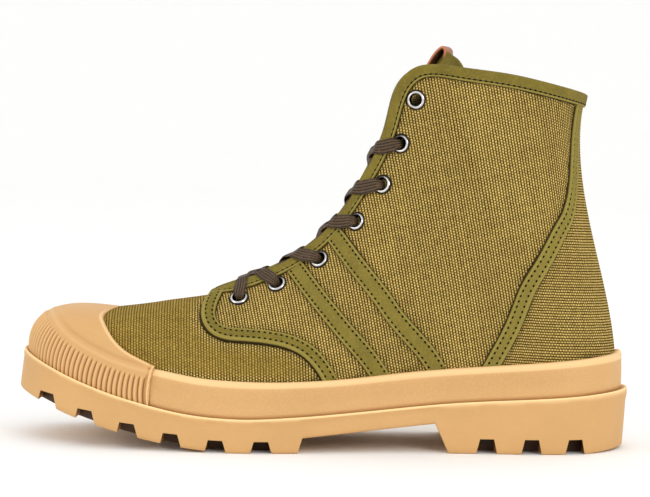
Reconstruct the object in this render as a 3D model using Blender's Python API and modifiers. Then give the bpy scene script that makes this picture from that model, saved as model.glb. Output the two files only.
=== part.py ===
"""Canvas ankle boot with a lugged rubber sole: a left boot, size EU 42, standing on its sole.

The boot is drawn from the sections of its last. Each section runs from the sole's edge up to the
throat or the collar, and a closed spline carries the sections round the foot. The upper, toe cap,
foxing, tapes, tongue, eyelets and laces are all worked out from that one surface.

Axes: -X is the toe, -Y the outer side, +Z up. The origin is on the floor, under the middle of the
boot. Tables and sizes are in millimetres, and MM turns them into metres.
"""

import math
from collections import namedtuple

import bmesh
import bpy
import numpy as np
from mathutils import Matrix, Vector

MM = 0.001

# Driving sizes
CLEARANCE = 0.35        # between pieces that touch on the real boot
CANVAS = 1.8            # two layers of canvas
LEDGE_OUT = 6.0         # outsole ledge, measured out from the canvas
OUTSOLE_EDGE_ROUND = 1.6
INSOLE_THICK = 4.0
INSOLE_INSET = 0.3      # more than the clearance, in from the canvas's inner face
TAPE_THICK = 0.8
VAMP_TAPE_WIDTH = 6.6
STAY_WIDTH = 9.6
COUNTER_TAPE_WIDTH = 7.2
TAPE_END_GAP = 0.6
BINDING_WIDTH = 5.6
BINDING_CLEARANCE = 0.45
TONGUE_THICK = 2.2
TONGUE_SIDE = 16.0      # how far it runs in under the throat's edge
TONGUE_CROWN = 1.4
LOOP_WIDTH = 13.0
LOOP_THICK = 1.6
EYELET_HOLE = 2.6       # radii
EYELET_BARREL = 3.3
EYELET_FLANGE = 4.5
EYELET_THICK = 0.7
EYELET_SIDES = 8
EYELET_CUT = 12.0       # length of a hole's cutter
LACE_WIDTH = 6.4
LACE_THICK = 1.2
LACE_LIFT = 2.95        # middle of a lace over the canvas, clear of binding and eyelets
LACE_REACH = 11.2       # one step of a lace's side count down the canvas
LUG_PITCH = 21.6
LUG_REACH = 11.0        # how far a notch runs in from the side
RIB_PITCH = 2.55
RIB_HEIGHT = 1.1

# Sections of the last, from the toe round to the back seam. foot_x, lateral and medial place the
# section's foot on the sole. rise and out shape the side wall above it. reach, fall and heading
# lead the curve into its top: fall is degrees below level, heading degrees towards the toe from
# straight sideways. top_x, top_z and top_y are on the throat edge or the collar.
Section = namedtuple(
    "Section", "foot_x lateral medial rise out reach fall heading top_x top_z top_y"
)
SECTIONS = [
    Section(-142.3, -6.0, 6.0, 27.0, 2.2, 60, 13, 90, -58.0, 71.9, 0.0),
    Section(-138.0, 12.5, 23.0, 27.0, 2.2, 58, 13, 76, -57.4, 71.9, 3.2),
    Section(-124.5, 28.2, 36.6, 26.0, 2.0, 50, 14, 58, -55.8, 72.3, 5.8),
    Section(-104.5, 38.6, 43.4, 23.5, 1.6, 37, 17, 38, -52.8, 73.3, 7.4),
    Section(-82.0, 43.8, 46.2, 22.0, 1.2, 28, 24, 20, -48.2, 75.2, 8.2),
    Section(-58.0, 46.6, 46.6, 22.0, 1.2, 25, 36, 2, -40.6, 78.0, 8.8),
    Section(-34.0, 47.0, 42.6, 25.0, 0.8, 26, 41, -9, -26.2, 84.2, 9.4),
    Section(-10.0, 44.2, 35.6, 31.0, 0.4, 30, 44, -18, -10.0, 94.2, 10.2),
    Section(13.0, 40.4, 31.2, 38.0, 0.2, 33, 46, -30, 5.8, 110.5, 11.4),
    Section(34.0, 36.8, 29.4, 46.0, 0.0, 37, 44, -44, 18.3, 131.5, 13.2),
    Section(54.0, 34.6, 29.6, 54.0, 0.0, 40, 38, -58, 27.6, 153.0, 16.0),
    Section(73.0, 33.6, 30.8, 58.0, 0.0, 44, 34, -68, 32.4, 172.4, 19.4),
    Section(90.0, 33.4, 31.8, 58.0, 0.0, 50, 55, -70, 43.2, 183.8, 23.6),
    Section(106.0, 32.8, 31.9, 56.0, 0.2, 56, 82, -30, 63.0, 183.2, 29.6),
    Section(121.0, 29.6, 28.9, 53.0, 0.8, 56, 92, 0, 85.0, 180.4, 32.6),
    Section(133.6, 21.0, 20.7, 50.0, 1.4, 53, 96, -40, 104.6, 176.6, 28.0),
    Section(140.9, 10.9, 10.8, 47.0, 2.0, 50, 100, -70, 118.8, 173.6, 15.8),
    Section(143.7, 0.0, 0.0, 46.0, 2.4, 50, 101, -90, 125.2, 172.2, 0.0),
]
BACK = len(SECTIONS) - 1        # the back seam's section number
LOOP = 2 * BACK                 # sections round the whole boot
CAP_END = 4                     # the toe cap ends at this section on both sides
COLUMN_STEP = 0.5               # columns between sections of the larger forms
UPPER_ROWS = (0, 0.11, 0.22, 0.34, 0.47, 0.61, 0.75, 0.88, 1.0)    # up each section

# Heights along the boot: (x, z)
LEDGE_HEIGHT = [
    (-150, 43.5), (-140, 39.6), (-128, 34.8), (-116, 30.4), (-101, 25.6), (-83, 21.0),
    (-66, 17.6), (-40, 15.6), (-12, 16.8), (20, 19.6), (60, 23.6), (110, 26.8), (150, 29.6),
]
TREAD_HEIGHT = [
    (-153, 26.0), (-142, 22.4), (-133, 19.2), (-118, 14.0), (-97, 8.2), (-77, 3.9),
    (-60, 1.3), (-44, 0.0), (-8, 0.0), (60, 0.0), (128, 0.0), (150, 1.6),
]
FOXING_TOP = [
    (-92, 38.8), (-80, 36.9), (-60, 33.8), (-36, 32.7), (0, 34.0), (48, 39.1), (108, 43.9),
    (150, 47.5),
]
# Foxing's outer face from its top edge down: (share of its height, distance out from the canvas)
FOXING_PROFILE = [(1.0, 1.7), (0.9, 2.75), (0.0, 2.95)]
FOXING_END_GAP = 0.02           # of a section, off the toe cap
# Outsole wall below the ledge: (section, how far it stands out past the ledge)
WALL_FLARE = [(0, 1.9), (3, 1.6), (7, 0.0), (12, -0.8), (17, -2.0)]
# Arch: x and z of its front foot, front top, heel-breast top and heel-breast foot
ARCH = [(-11.6, -1.0), (-9.2, 7.2), (53.2, 14.2), (60.2, -1.0)]
FOREFOOT_NOTCH_X = (-28.4, -50.0, -71.5, -92.2, -112.4, -131.8)
FOREFOOT_NOTCH_DEPTH = 5.6
HEEL_NOTCHES = 3
HEEL_NOTCH_X = 78.2
HEEL_NOTCH_DEPTH = 7.2
NOTCH_HALF_WIDTH = (3.4, 5.0)   # at its roof, and at the tread
NOTCH_TILT = 0.7                # share of the tread's slope that a notch follows
NOTCH_BELOW = 4.0               # how far a cutter runs on below the tread
NOTCH_CORE = 4.0                # least distance of a notch's end from the boot's axis
CUT_SPAN = 80.0                 # cutters run this far out to each side

# Toe cap, by section from the toe: where along a section its rear edge, crest and rib tops lie
CAP_EDGE = [0.705, 0.645, 0.50, 0.332, 0.266]
CAP_CREST = [0.36, 0.335, 0.258, 0.218, 0.215]
CAP_RIB_SHARES = (0.0, 0.8)     # of the way up to the crest
CAP_EDGE_ROUND = 0.012          # of a section
CAP_INNER_SHARES = (1, 0.72, 0.48, 0.24, 0)
# Its face above the crest: (share of the way to its edge, out past the thickness of its top)
CAP_FACE = [(0.42, 0.3)]
CAP_BASE_THICK = 3.4
CAP_TOP_THICK = 2.2
CAP_CLEARANCE = 0.8             # the canvas bends more sharply under the cap

# Tape centre lines on the side of the boot: (x, z) as seen from the side
VAMP_TAPE = [
    (-54.8, 70.6), (-56.2, 67.0), (-56.3, 63.0), (-54.8, 59.2), (-51.6, 56.2), (-46.7, 54.6),
    (-38.0, 54.1), (-26.0, 53.4), (-16.4, 51.6), (-7.8, 47.5), (-1.0, 40.6), (3.4, 33.6),
]
FRONT_STAY = [(-13.2, 83.6), (7.0, 60.0), (27.6, 34.8)]
REAR_STAY = [(5.2, 100.2), (29.3, 70.0), (54.2, 39.0)]
# The counter tape runs up beside the back seam: (section, height)
COUNTER_TAPE = [
    (11.3, 38.0), (11.65, 48.0), (12.0, 57.0), (12.75, 74.0), (13.72, 90.0), (14.6, 106.0),
    (15.25, 116.0), (15.7, 126.0), (15.94, 134.0), (16.19, 149.0), (16.36, 168.0),
]

# Eyelets: along the throat edge from its front end, and down from the edge
Eyelet = namedtuple("Eyelet", "along inset")
EYELETS = [
    Eyelet(8.2, 11.8), Eyelet(26.0, 10.7), Eyelet(48.9, 10.7), Eyelet(73.8, 10.9),
    Eyelet(95.4, 12.0), Eyelet(115.3, 10.8), Eyelet(137.5, 11.1),
]

# Tongue rows: the sections whose throat it lies under, then free rows above them
TONGUE_DEPTH = 4.2              # of its outer face, in from the canvas's outer face
TONGUE_SECTIONS = (4.4, 5, 6, 7, 8, 9, 9.8)
# Its front row, under the vamp: (section, distance in from the throat's front end)
TONGUE_FRONT = [
    (3.5, 15), (3.1, 11), (2.5, 9), (1.3, 8), (0, 8), (-1.3, 8), (-2.5, 9), (-3.1, 11), (-3.5, 15),
]
FreeRow = namedtuple("FreeRow", "x z side_x side_z half_width")
TONGUE_FREE_ROWS = [
    FreeRow(36.5, 166.5, 52.0, 158.5, 19.0),
    FreeRow(46.5, 179.0, 60.0, 171.0, 21.0),
    FreeRow(57.0, 190.5, 68.0, 184.5, 20.0),
]
# The pull loop's middle line, folded over the top of the tongue: (x, z)
LOOP_LINE = [
    (45.6, 182.4), (47.8, 187.6), (50.6, 191.8), (54.6, 194.4), (59.0, 193.4), (61.4, 190.0),
    (60.4, 186.8),
]
# A lace from its eyelet to under the other edge: (down the throat from the eyelet's level, side),
# where side counts half gaps from the middle, and past -1 it lies on the canvas
CROSS_LINE = [(3.0, -1.9), (5.5, -1.3), (7.0, -1.0), (11.0, 0.0), (14.5, 0.55)]
BAR_SIDES = (-1.75, -1.4, -1, 0, 1, 1.4, 1.75)    # the straight lace over the first pair
BAR_DOWN = 2.6


def smooth(table, x):
    """A smooth curve through a table's (x, y) pairs, level beyond its ends' slopes."""
    knots, values = np.array(table, float).T
    slopes = np.gradient(values, knots)
    x = np.clip(np.asarray(x, float), knots[0], knots[-1])
    i = np.clip(np.searchsorted(knots, x) - 1, 0, len(knots) - 2)
    width = knots[i + 1] - knots[i]
    f = (x - knots[i]) / width
    return (
        (2 * f**3 - 3 * f**2 + 1) * values[i]
        + (f**3 - 2 * f**2 + f) * width * slopes[i]
        + (3 * f**2 - 2 * f**3) * values[i + 1]
        + (f**3 - f**2) * width * slopes[i + 1]
    )


class Ring:
    """A closed spline through points, with continuous curvature."""

    def __init__(self, points):
        self.points = np.array(points, float)
        n = len(self.points)
        eye = np.eye(n)
        system = 4 * eye + np.roll(eye, 1, 0) + np.roll(eye, -1, 0)
        chords = 3 * (np.roll(self.points, -1, 0) - np.roll(self.points, 1, 0))
        self.tangents = np.linalg.solve(system, chords)

    def at(self, u):
        n = len(self.points)
        u = np.asarray(u, float) % n
        i = np.floor(u).astype(int) % n
        j = (i + 1) % n
        f = (u - np.floor(u))[..., None]
        return (
            (2 * f**3 - 3 * f**2 + 1) * self.points[i]
            + (f**3 - 2 * f**2 + f) * self.tangents[i]
            + (3 * f**2 - 2 * f**3) * self.points[j]
            + (f**3 - f**2) * self.tangents[j]
        )


def ledge_z(x):
    return smooth(LEDGE_HEIGHT, x)


def tread_z(x):
    return np.maximum(smooth(TREAD_HEIGHT, x), 0.0)


def section_controls():
    """The four control points of every section, round the boot: outer side first, then inner."""
    rows = []
    for number in range(LOOP):
        outer = number <= BACK
        section = SECTIONS[number if outer else LOOP - number]
        side = -1 if outer else 1
        foot_y = -section.lateral if outer else section.medial
        heading, fall = math.radians(section.heading), math.radians(section.fall)
        foot = np.array((section.foot_x, foot_y, ledge_z(section.foot_x) + CLEARANCE))
        top = np.array((section.top_x, side * section.top_y, section.top_z))
        lead = np.array((
            -math.sin(heading) * math.cos(fall),
            side * math.cos(heading) * math.cos(fall),
            -math.sin(fall),
        ))
        rows.append((foot, section.rise, section.out, top + section.reach * lead, top))
    feet = np.array([row[0] for row in rows])
    along = np.roll(feet, -1, 0) - np.roll(feet, 1, 0)
    outward = np.stack((along[:, 1], -along[:, 0], 0 * along[:, 0]), 1)
    outward *= np.sign((outward * feet).sum(1))[:, None]
    outward /= np.linalg.norm(outward, axis=1)[:, None]
    rise = np.array([row[1] for row in rows])[:, None] * (0, 0, 1)
    out = np.array([row[2] for row in rows])[:, None] * outward
    tops = np.array([row[4] for row in rows])
    return feet, feet + rise + out, np.array([row[3] for row in rows]), tops


FEET, LOW, HIGH, TOPS = [Ring(points) for points in section_controls()]


def foot(u):
    """Points on the sole's edge of the canvas."""
    points = FEET.at(u)
    points[..., 2] = ledge_z(points[..., 0]) + CLEARANCE
    return points


def surface(u, v):
    """The canvas's outer face: u counts sections round the boot, v runs from sole (0) to top (1)."""
    u, v = np.broadcast_arrays(np.asarray(u, float), np.asarray(v, float))
    f = v[..., None]
    return (
        (1 - f) ** 3 * foot(u)
        + 3 * f * (1 - f) ** 2 * LOW.at(u)
        + 3 * f**2 * (1 - f) * HIGH.at(u)
        + f**3 * TOPS.at(u)
    )


def unit(vectors):
    return vectors / np.linalg.norm(vectors, axis=-1, keepdims=True)


def normal(u, v):
    """Outward unit normals of the canvas."""
    step = 0.002
    along = surface(np.asarray(u) + step, v) - surface(np.asarray(u) - step, v)
    up = surface(u, np.asarray(v) + step) - surface(u, np.asarray(v) - step)
    return unit(np.cross(along, up))


def shell(u, v, out):
    """Points at a distance out from the canvas's outer face."""
    u, v, out = np.broadcast_arrays(*(np.asarray(a, float) for a in (u, v, out)))
    return surface(u, v) + out[..., None] * normal(u, v)


def outline(u, out):
    """The sole's edge moved outwards in plan."""
    step = 0.01
    along = FEET.at(np.asarray(u) + step) - FEET.at(np.asarray(u) - step)
    sideways = unit(np.stack((along[..., 1], -along[..., 0], 0 * along[..., 0]), -1))
    return FEET.at(u) + np.asarray(out, float)[..., None] * sideways


SAMPLES = np.linspace(0, 1, 241)


def v_at_height(u, z):
    """How far up each section reaches a height."""
    u, z = np.atleast_1d(u), np.broadcast_to(z, np.shape(np.atleast_1d(u)))
    heights = surface(u[:, None], SAMPLES[None, :])[..., 2]
    return np.array([np.interp(goal, np.maximum.accumulate(row), SAMPLES)
                     for row, goal in zip(heights, z)])


def v_below_top(u, distance):
    """How far up each section comes within a distance of its top, measured on the surface."""
    u = np.atleast_1d(u)
    distance = np.broadcast_to(distance, u.shape)
    points = surface(u[:, None], SAMPLES[None, ::-1])
    lengths = np.linalg.norm(np.diff(points, axis=1), axis=2).cumsum(1)
    lengths = np.concatenate((np.zeros((len(u), 1)), lengths), 1)
    return np.array([1 - np.interp(goal, row, SAMPLES) for row, goal in zip(lengths, distance)])


def locate(x, z):
    """The (u, v) of a point on the outer side, from its x and z as seen from the side."""
    u, v = np.meshgrid(np.linspace(0, BACK - 1, 120), np.linspace(0, 1, 120))
    points = surface(u, v)
    near = np.argmin((points[..., 0] - x) ** 2 + (points[..., 2] - z) ** 2)
    found = np.array((u.flat[near], v.flat[near]))
    step = 1e-4
    for _ in range(8):
        here = surface(*found)[[0, 2]]
        by_u = (surface(found[0] + step, found[1])[[0, 2]] - here) / step
        by_v = (surface(found[0], found[1] + step)[[0, 2]] - here) / step
        found = found + np.linalg.solve(np.stack((by_u, by_v), 1), (x, z) - here)
    return found


def through(points, count):
    """Evenly spread points on a smooth line through a few."""
    points = np.array(points, float)
    knots = np.concatenate(([0], np.linalg.norm(np.diff(points, axis=0), axis=1).cumsum()))
    spread = np.linspace(0, knots[-1], count)
    return np.stack([smooth(np.stack((knots, line), 1), spread) for line in points.T], 1)


# Materials and mesh making

MATERIALS = {
    "canvas": ((0.245, 0.195, 0.060), 0.85, 0.0),
    "tape": ((0.205, 0.200, 0.045), 0.75, 0.0),
    "rubber": ((0.730, 0.440, 0.165), 0.55, 0.0),
    "lace": ((0.085, 0.062, 0.035), 0.65, 0.0),
    "eyelet": ((0.300, 0.300, 0.310), 0.30, 1.0),
    "leather": ((0.420, 0.190, 0.075), 0.55, 0.0),
    "insole": ((0.500, 0.420, 0.260), 0.90, 0.0),
}


def material(name):
    made = bpy.data.materials.get(name)
    if made is None:
        made = bpy.data.materials.new(name)
        made.use_nodes = True
        colour, roughness, metallic = MATERIALS[name]
        shader = made.node_tree.nodes["Principled BSDF"]
        shader.inputs["Base Color"].default_value = (*colour, 1)
        shader.inputs["Roughness"].default_value = roughness
        shader.inputs["Metallic"].default_value = metallic
    return made


def collection(name):
    made = bpy.data.collections.new(name)
    bpy.context.scene.collection.children.link(made)
    return made


def add_object(name, mesh, finish, group):
    made = bpy.data.objects.new(name, mesh)
    mesh.materials.append(material(finish))
    group.objects.link(made)
    return made


def loft(name, rows, finish, group, ring=True, cap=True, closed=False):
    """A skin over rows of points. ring closes each row, cap fills the end rows, and closed joins
    the last row to the first. Points that coincide are merged, so a row may shrink to a point."""
    rows = np.asarray(rows, float) * MM
    count, width = rows.shape[:2]
    bm = bmesh.new()
    grid = [[bm.verts.new(point) for point in row] for row in rows]
    for i in range(count if closed else count - 1):
        for j in range(width if ring else width - 1):
            here, there = grid[i], grid[(i + 1) % count]
            k = (j + 1) % width
            bm.faces.new((here[j], here[k], there[k], there[j]))
    if cap and not closed:
        bm.faces.new(grid[0])
        bm.faces.new(grid[-1])
    bmesh.ops.remove_doubles(bm, verts=bm.verts, dist=0.00001)
    bmesh.ops.dissolve_degenerate(bm, edges=bm.edges, dist=0.00001)
    bmesh.ops.triangulate(bm, faces=[face for face in bm.faces if len(face.verts) > 4])
    bmesh.ops.recalc_face_normals(bm, faces=bm.faces)
    mesh = bpy.data.meshes.new(name)
    bm.to_mesh(mesh)
    bm.free()
    mesh.shade_smooth()
    mesh.set_sharp_from_angle(angle=math.radians(40))
    return add_object(name, mesh, finish, group)


def prisms(name, blocks, group):
    """One cutter of several prisms: each block is an (x, z) profile and its span along y."""
    bm = bmesh.new()
    for profile, low, high in blocks:
        ends = [[bm.verts.new((x * MM, y * MM, z * MM)) for x, z in profile] for y in (low, high)]
        count = len(profile)
        for j in range(count):
            k = (j + 1) % count
            bm.faces.new((ends[0][j], ends[0][k], ends[1][k], ends[1][j]))
        bm.faces.new(ends[0])
        bm.faces.new(ends[1])
    bmesh.ops.recalc_face_normals(bm, faces=bm.faces)
    return cutter(name, bm, group)


def cutter(name, bm, group):
    mesh = bpy.data.meshes.new(name)
    bm.to_mesh(mesh)
    bm.free()
    made = bpy.data.objects.new(name, mesh)
    group.objects.link(made)
    made.hide_render = True
    made.display_type = "WIRE"
    return made


def boolean(target, other, operation):
    change = target.modifiers.new(f"{operation.lower()} {other.name}", "BOOLEAN")
    change.operation = operation
    change.object = other
    change.solver = "EXACT"


# Sole

def ladder(step=COLUMN_STEP):
    """Section numbers from the toe to the back seam, for forms that span the sole."""
    return np.arange(0, BACK + step / 2, step)


def build_outsole(parts, cutters):
    """The moulded sole: ledge, flared wall and tread, with the arch and side notches cut out."""
    rows = []
    for u in ladder():
        flare = smooth(WALL_FLARE, u)
        row = []
        for side_u in (u, -u):
            ledge = outline(side_u, LEDGE_OUT)
            wall = outline(side_u, LEDGE_OUT + flare)
            sole = outline(side_u, LEDGE_OUT + flare - OUTSOLE_EDGE_ROUND)
            ledge[2] = ledge_z(ledge[0])
            wall[2] = tread_z(wall[0]) + OUTSOLE_EDGE_ROUND
            sole[2] = tread_z(sole[0])
            row.append([ledge, wall, sole])
        rows.append(row[0] + row[1][::-1])
    outsole = loft("outsole", rows, "rubber", parts, cap=False)
    blocks = [(ARCH, -CUT_SPAN, CUT_SPAN)]
    blocks += [notch for x in FOREFOOT_NOTCH_X for notch in side_notches(x, FOREFOOT_NOTCH_DEPTH)]
    for number in range(HEEL_NOTCHES):
        blocks += side_notches(HEEL_NOTCH_X + number * LUG_PITCH, HEEL_NOTCH_DEPTH)
    boolean(outsole, prisms("tread_cutter", blocks, cutters), "DIFFERENCE")
    return outsole


def half_width(x, side):
    """Distance of the outsole's side from the boot's axis at x."""
    u = ladder(0.1) * side
    points = outline(u, LEDGE_OUT)
    order = np.argsort(points[:, 0])
    return np.interp(x, points[order, 0], np.abs(points[order, 1]))


def side_notches(x, depth):
    """The pair of notches at x, tilted with the tread and open at the sides."""
    slope = NOTCH_TILT * math.atan2(tread_z(x + 1) - tread_z(x - 1), 2)
    roof, mouth = NOTCH_HALF_WIDTH
    below = NOTCH_BELOW
    flared = mouth + (mouth - roof) * below / depth
    profile = []
    for across, up in ((-flared, -below), (flared, -below), (roof, depth), (-roof, depth)):
        profile.append((
            x + across * math.cos(slope) - up * math.sin(slope),
            tread_z(x) + across * math.sin(slope) + up * math.cos(slope),
        ))
    pair = []
    for side in (1, -1):
        inner = max(half_width(x, side) - LUG_REACH, NOTCH_CORE)
        span = (inner, CUT_SPAN) if side < 0 else (-CUT_SPAN, -inner)
        pair.append((profile, *span))
    return pair


def build_insole(parts):
    """A flat board inside the canvas, on the sole."""
    rows = []
    inset = -(CANVAS + CLEARANCE + INSOLE_INSET)
    for u in ladder(1):
        outer, inner = outline(u, inset), outline(-u, inset)
        base = [ledge_z(p[0]) + CLEARANCE for p in (outer, inner)]
        rows.append([
            (outer[0], outer[1], base[0]),
            (inner[0], inner[1], base[1]),
            (inner[0], inner[1], base[1] + INSOLE_THICK),
            (outer[0], outer[1], base[0] + INSOLE_THICK),
        ])
    return loft("insole", rows, "insole", parts, cap=False)


def build_foxing(parts):
    """The rubber band round the boot, from one end of the toe cap to the other by the heel."""
    first, last = CAP_END + FOXING_END_GAP, LOOP - CAP_END - FOXING_END_GAP
    u = np.linspace(first, last, 2 * (LOOP - 2 * CAP_END) + 1)
    top = v_at_height(u, smooth(FOXING_TOP, FEET.at(u)[:, 0]))
    profile = [shell(u, top * share, CLEARANCE) for share in (0, 0.5, 1)]
    profile += [shell(u, top * share, out) for share, out in FOXING_PROFILE]
    profile[0][:, 2] = profile[-1][:, 2] = ledge_z(profile[-1][:, 0]) + CLEARANCE
    return loft("foxing", np.stack(profile, 1), "rubber", parts)


def build_toe_cap(parts):
    """A moulded cap over the toe: ribbed below its crest, smooth above it."""
    fine = np.linspace(-CAP_END, CAP_END, 400)
    length = np.linalg.norm(np.diff(outline(fine, 0 * fine), axis=0), axis=1).cumsum()
    ribs = int(length[-1] / RIB_PITCH)
    u = np.interp(np.linspace(0, length[-1], 2 * ribs + 1), np.append(0, length), fine)
    rib = np.where(np.arange(len(u)) % 2, 0.5, -0.5) * RIB_HEIGHT
    by_section = range(CAP_END + 1)
    edge = smooth(list(zip(by_section, CAP_EDGE)), np.abs(u))
    crest = smooth(list(zip(by_section, CAP_CREST)), np.abs(u))
    base, thin = CLEARANCE + CAP_BASE_THICK, CLEARANCE + CAP_TOP_THICK
    face = [(crest * share, base + rib) for share in CAP_RIB_SHARES] + [(crest, base)]
    face += [(crest + (edge - crest) * share, thin + out) for share, out in CAP_FACE]
    face += [(edge - CAP_EDGE_ROUND, thin)]
    face += [(edge * share, CAP_CLEARANCE) for share in CAP_INNER_SHARES]
    profile = [shell(u, v, out) for v, out in face]
    profile[0][:, 2] = profile[-1][:, 2] = ledge_z(profile[0][:, 0]) + CLEARANCE
    return loft("toe_cap", np.stack(profile, 1), "rubber", parts)


# Upper

def eyelet_places():
    """(u, v) of the outer side's eyelets, placed along the throat edge."""
    u = np.linspace(CAP_END, BACK, 600)
    edge = TOPS.at(u)
    length = np.append(0, np.linalg.norm(np.diff(edge, axis=0), axis=1).cumsum())
    goals, inset = np.array(EYELETS).T
    along = np.interp(goals, length, u)
    return list(zip(along, v_below_top(along, inset)))


def build_upper(parts, cutters):
    """The canvas, one wall thick, with a hole for each eyelet."""
    u = np.arange(0, LOOP, COLUMN_STEP)
    rows = surface(u[:, None], np.array(UPPER_ROWS)[None, :])
    upper = loft("upper", rows, "canvas", parts, ring=False, cap=False, closed=True)
    wall = upper.modifiers.new("canvas wall", "SOLIDIFY")
    wall.thickness = CANVAS * MM
    wall.offset = -1
    wall.use_even_offset = True
    bm = bmesh.new()
    for at, up in eyelet_places():
        for side in (1, -1):
            axis = normal(side * at, up)
            place = Matrix.Translation(Vector(surface(side * at, up) * MM))
            turn = Vector((0, 0, 1)).rotation_difference(Vector(axis)).to_matrix().to_4x4()
            radius = (EYELET_BARREL + CLEARANCE) * MM
            bmesh.ops.create_cone(
                bm, cap_ends=True, segments=EYELET_SIDES, radius1=radius, radius2=radius,
                depth=EYELET_CUT * MM, matrix=place @ turn,
            )
    boolean(upper, cutter("eyelet_cutter", bm, cutters), "DIFFERENCE")
    return upper


def strip(name, u, v, parts, finish="tape", thick=TAPE_THICK, lift=CLEARANCE):
    """A tape laid on the canvas: u and v hold one row of points for each line along it."""
    under = [shell(a, b, lift) for a, b in zip(u, v)]
    over = [shell(a, b, lift + thick) for a, b in zip(u, v)]
    return loft(name, np.stack(under + over[::-1], 1), finish, parts)


def tape_lines(centre, width):
    """Three lines of (u, v) across a tape, from the (u, v) points of its centre line."""
    step = 0.01
    u, v = np.array(centre, float).T
    here = surface(u, v)
    by_u = (surface(u + step, v) - here) / step
    by_v = (surface(u, v + step) - here) / step
    along = unit(np.gradient(here, axis=0))
    across = unit(np.cross(normal(u, v), along)) * width / 2
    moves = [np.linalg.lstsq(np.stack((a, b), 1), c, rcond=None)[0]
             for a, b, c in zip(by_u, by_v, across)]
    du, dv = np.array(moves).T
    return [u - du, u, u + du], [v - dv, v, v + dv]


def between_edges(u, v):
    """Keeps a tape's ends off the foxing below and the binding above."""
    low = v_at_height(u, smooth(FOXING_TOP, FEET.at(u)[:, 0]) + TAPE_END_GAP)
    return np.clip(v, low, v_below_top(u, BINDING_WIDTH + TAPE_END_GAP))


def build_tapes(parts):
    """Vamp, stay and counter tapes, the same on both sides."""
    lines = {
        "vamp_tape": ([locate(*point) for point in VAMP_TAPE], 21, VAMP_TAPE_WIDTH),
        "front_stay": ([locate(*point) for point in FRONT_STAY], 11, STAY_WIDTH),
        "rear_stay": ([locate(*point) for point in REAR_STAY], 13, STAY_WIDTH),
        "counter_tape": (
            [(u, v_at_height(u, z)[0]) for u, z in COUNTER_TAPE], 17, COUNTER_TAPE_WIDTH),
    }
    for name, (points, count, width) in lines.items():
        u, v = tape_lines(through(points, count), width)
        v = [between_edges(*line) for line in zip(u, v)]
        for side, word in ((1, "outer"), (-1, "inner")):
            strip(f"{name}_{word}", [side * line for line in u], v, parts)


def build_binding(parts):
    """Tape folded over the edge of the throat and collar, from one front corner to the other."""
    u = np.arange(CAP_END + 0.5, LOOP - CAP_END - 0.25, COLUMN_STEP)
    low = v_below_top(u, BINDING_WIDTH)
    near, far = BINDING_CLEARANCE, BINDING_CLEARANCE + TAPE_THICK
    top, out = TOPS.at(u), normal(u, 1.0)
    up = unit(top - surface(u, 0.97))
    profile = [
        shell(u, low, far), top + up * far + out * far, top + up * far - out * (CANVAS + far),
        shell(u, low, -CANVAS - far), shell(u, low, -CANVAS - near),
        top + up * near - out * (CANVAS + near), top + up * near + out * near,
        shell(u, low, near),
    ]
    return loft("collar_binding", np.stack(profile, 1), "tape", parts)


# Tongue

def tongue_rows(outer_face):
    """Rows of one face of the tongue, nine points from the outer side to the inner."""
    back = 0 if outer_face else TONGUE_THICK
    depth = TONGUE_DEPTH + back
    under_vamp, from_edge = np.array(TONGUE_FRONT).T
    sewn = -(CANVAS + 2 * CLEARANCE + back)
    rows = [shell(under_vamp, v_below_top(under_vamp, from_edge), sewn)]
    for u in TONGUE_SECTIONS:
        down = v_below_top(np.full(3, u), (TONGUE_SIDE, TONGUE_SIDE / 2, 0.0))
        outer, inner = shell(u, down, -depth), shell(-u, down, -depth)
        up = unit(normal(u, 1.0) + normal(-u, 1.0))
        bridge = [outer[2] + share * (inner[2] - outer[2]) for share in (0.25, 0.5, 0.75)]
        crown = [share * TONGUE_CROWN for share in (0.75, 1, 0.75)]
        middle = [point + rise * up for point, rise in zip(bridge, crown)]
        rows.append([*outer, *middle, *inner[::-1]])
    return rows


def free_tongue_rows(outer_face):
    """The tongue above the lacing, where it leans back in the collar."""
    across = np.linspace(-1, 1, 9)
    rows = []
    for row in TONGUE_FREE_ROWS:
        lean = math.atan2(row.side_z - row.z, row.side_x - row.x)
        back = 0 if outer_face else TONGUE_THICK
        rows.append(np.stack((
            row.x + (row.side_x - row.x) * across**2 + back * math.cos(lean),
            row.half_width * across,
            row.z + (row.side_z - row.z) * across**2 + back * math.sin(lean),
        ), 1))
    return rows


def build_tongue(parts):
    outer = np.array(tongue_rows(True) + free_tongue_rows(True))
    inner = np.array(tongue_rows(False) + free_tongue_rows(False))
    return loft("tongue", np.concatenate((outer, inner[:, ::-1]), 1), "canvas", parts)


def build_tongue_loop(parts):
    """A leather strip folded over the tongue's top."""
    line = through(LOOP_LINE, 11)
    along = unit(np.gradient(line, axis=0))
    out = np.stack((-along[:, 1], along[:, 0]), 1) * LOOP_THICK / 2
    rows = []
    for (x, z), (dx, dz) in zip(line, out):
        half = LOOP_WIDTH / 2
        rows.append([
            (x + dx, -half, z + dz), (x + dx, half, z + dz),
            (x - dx, half, z - dz), (x - dx, -half, z - dz),
        ])
    return loft("tongue_loop", rows, "leather", parts)


# Eyelets and laces

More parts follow.
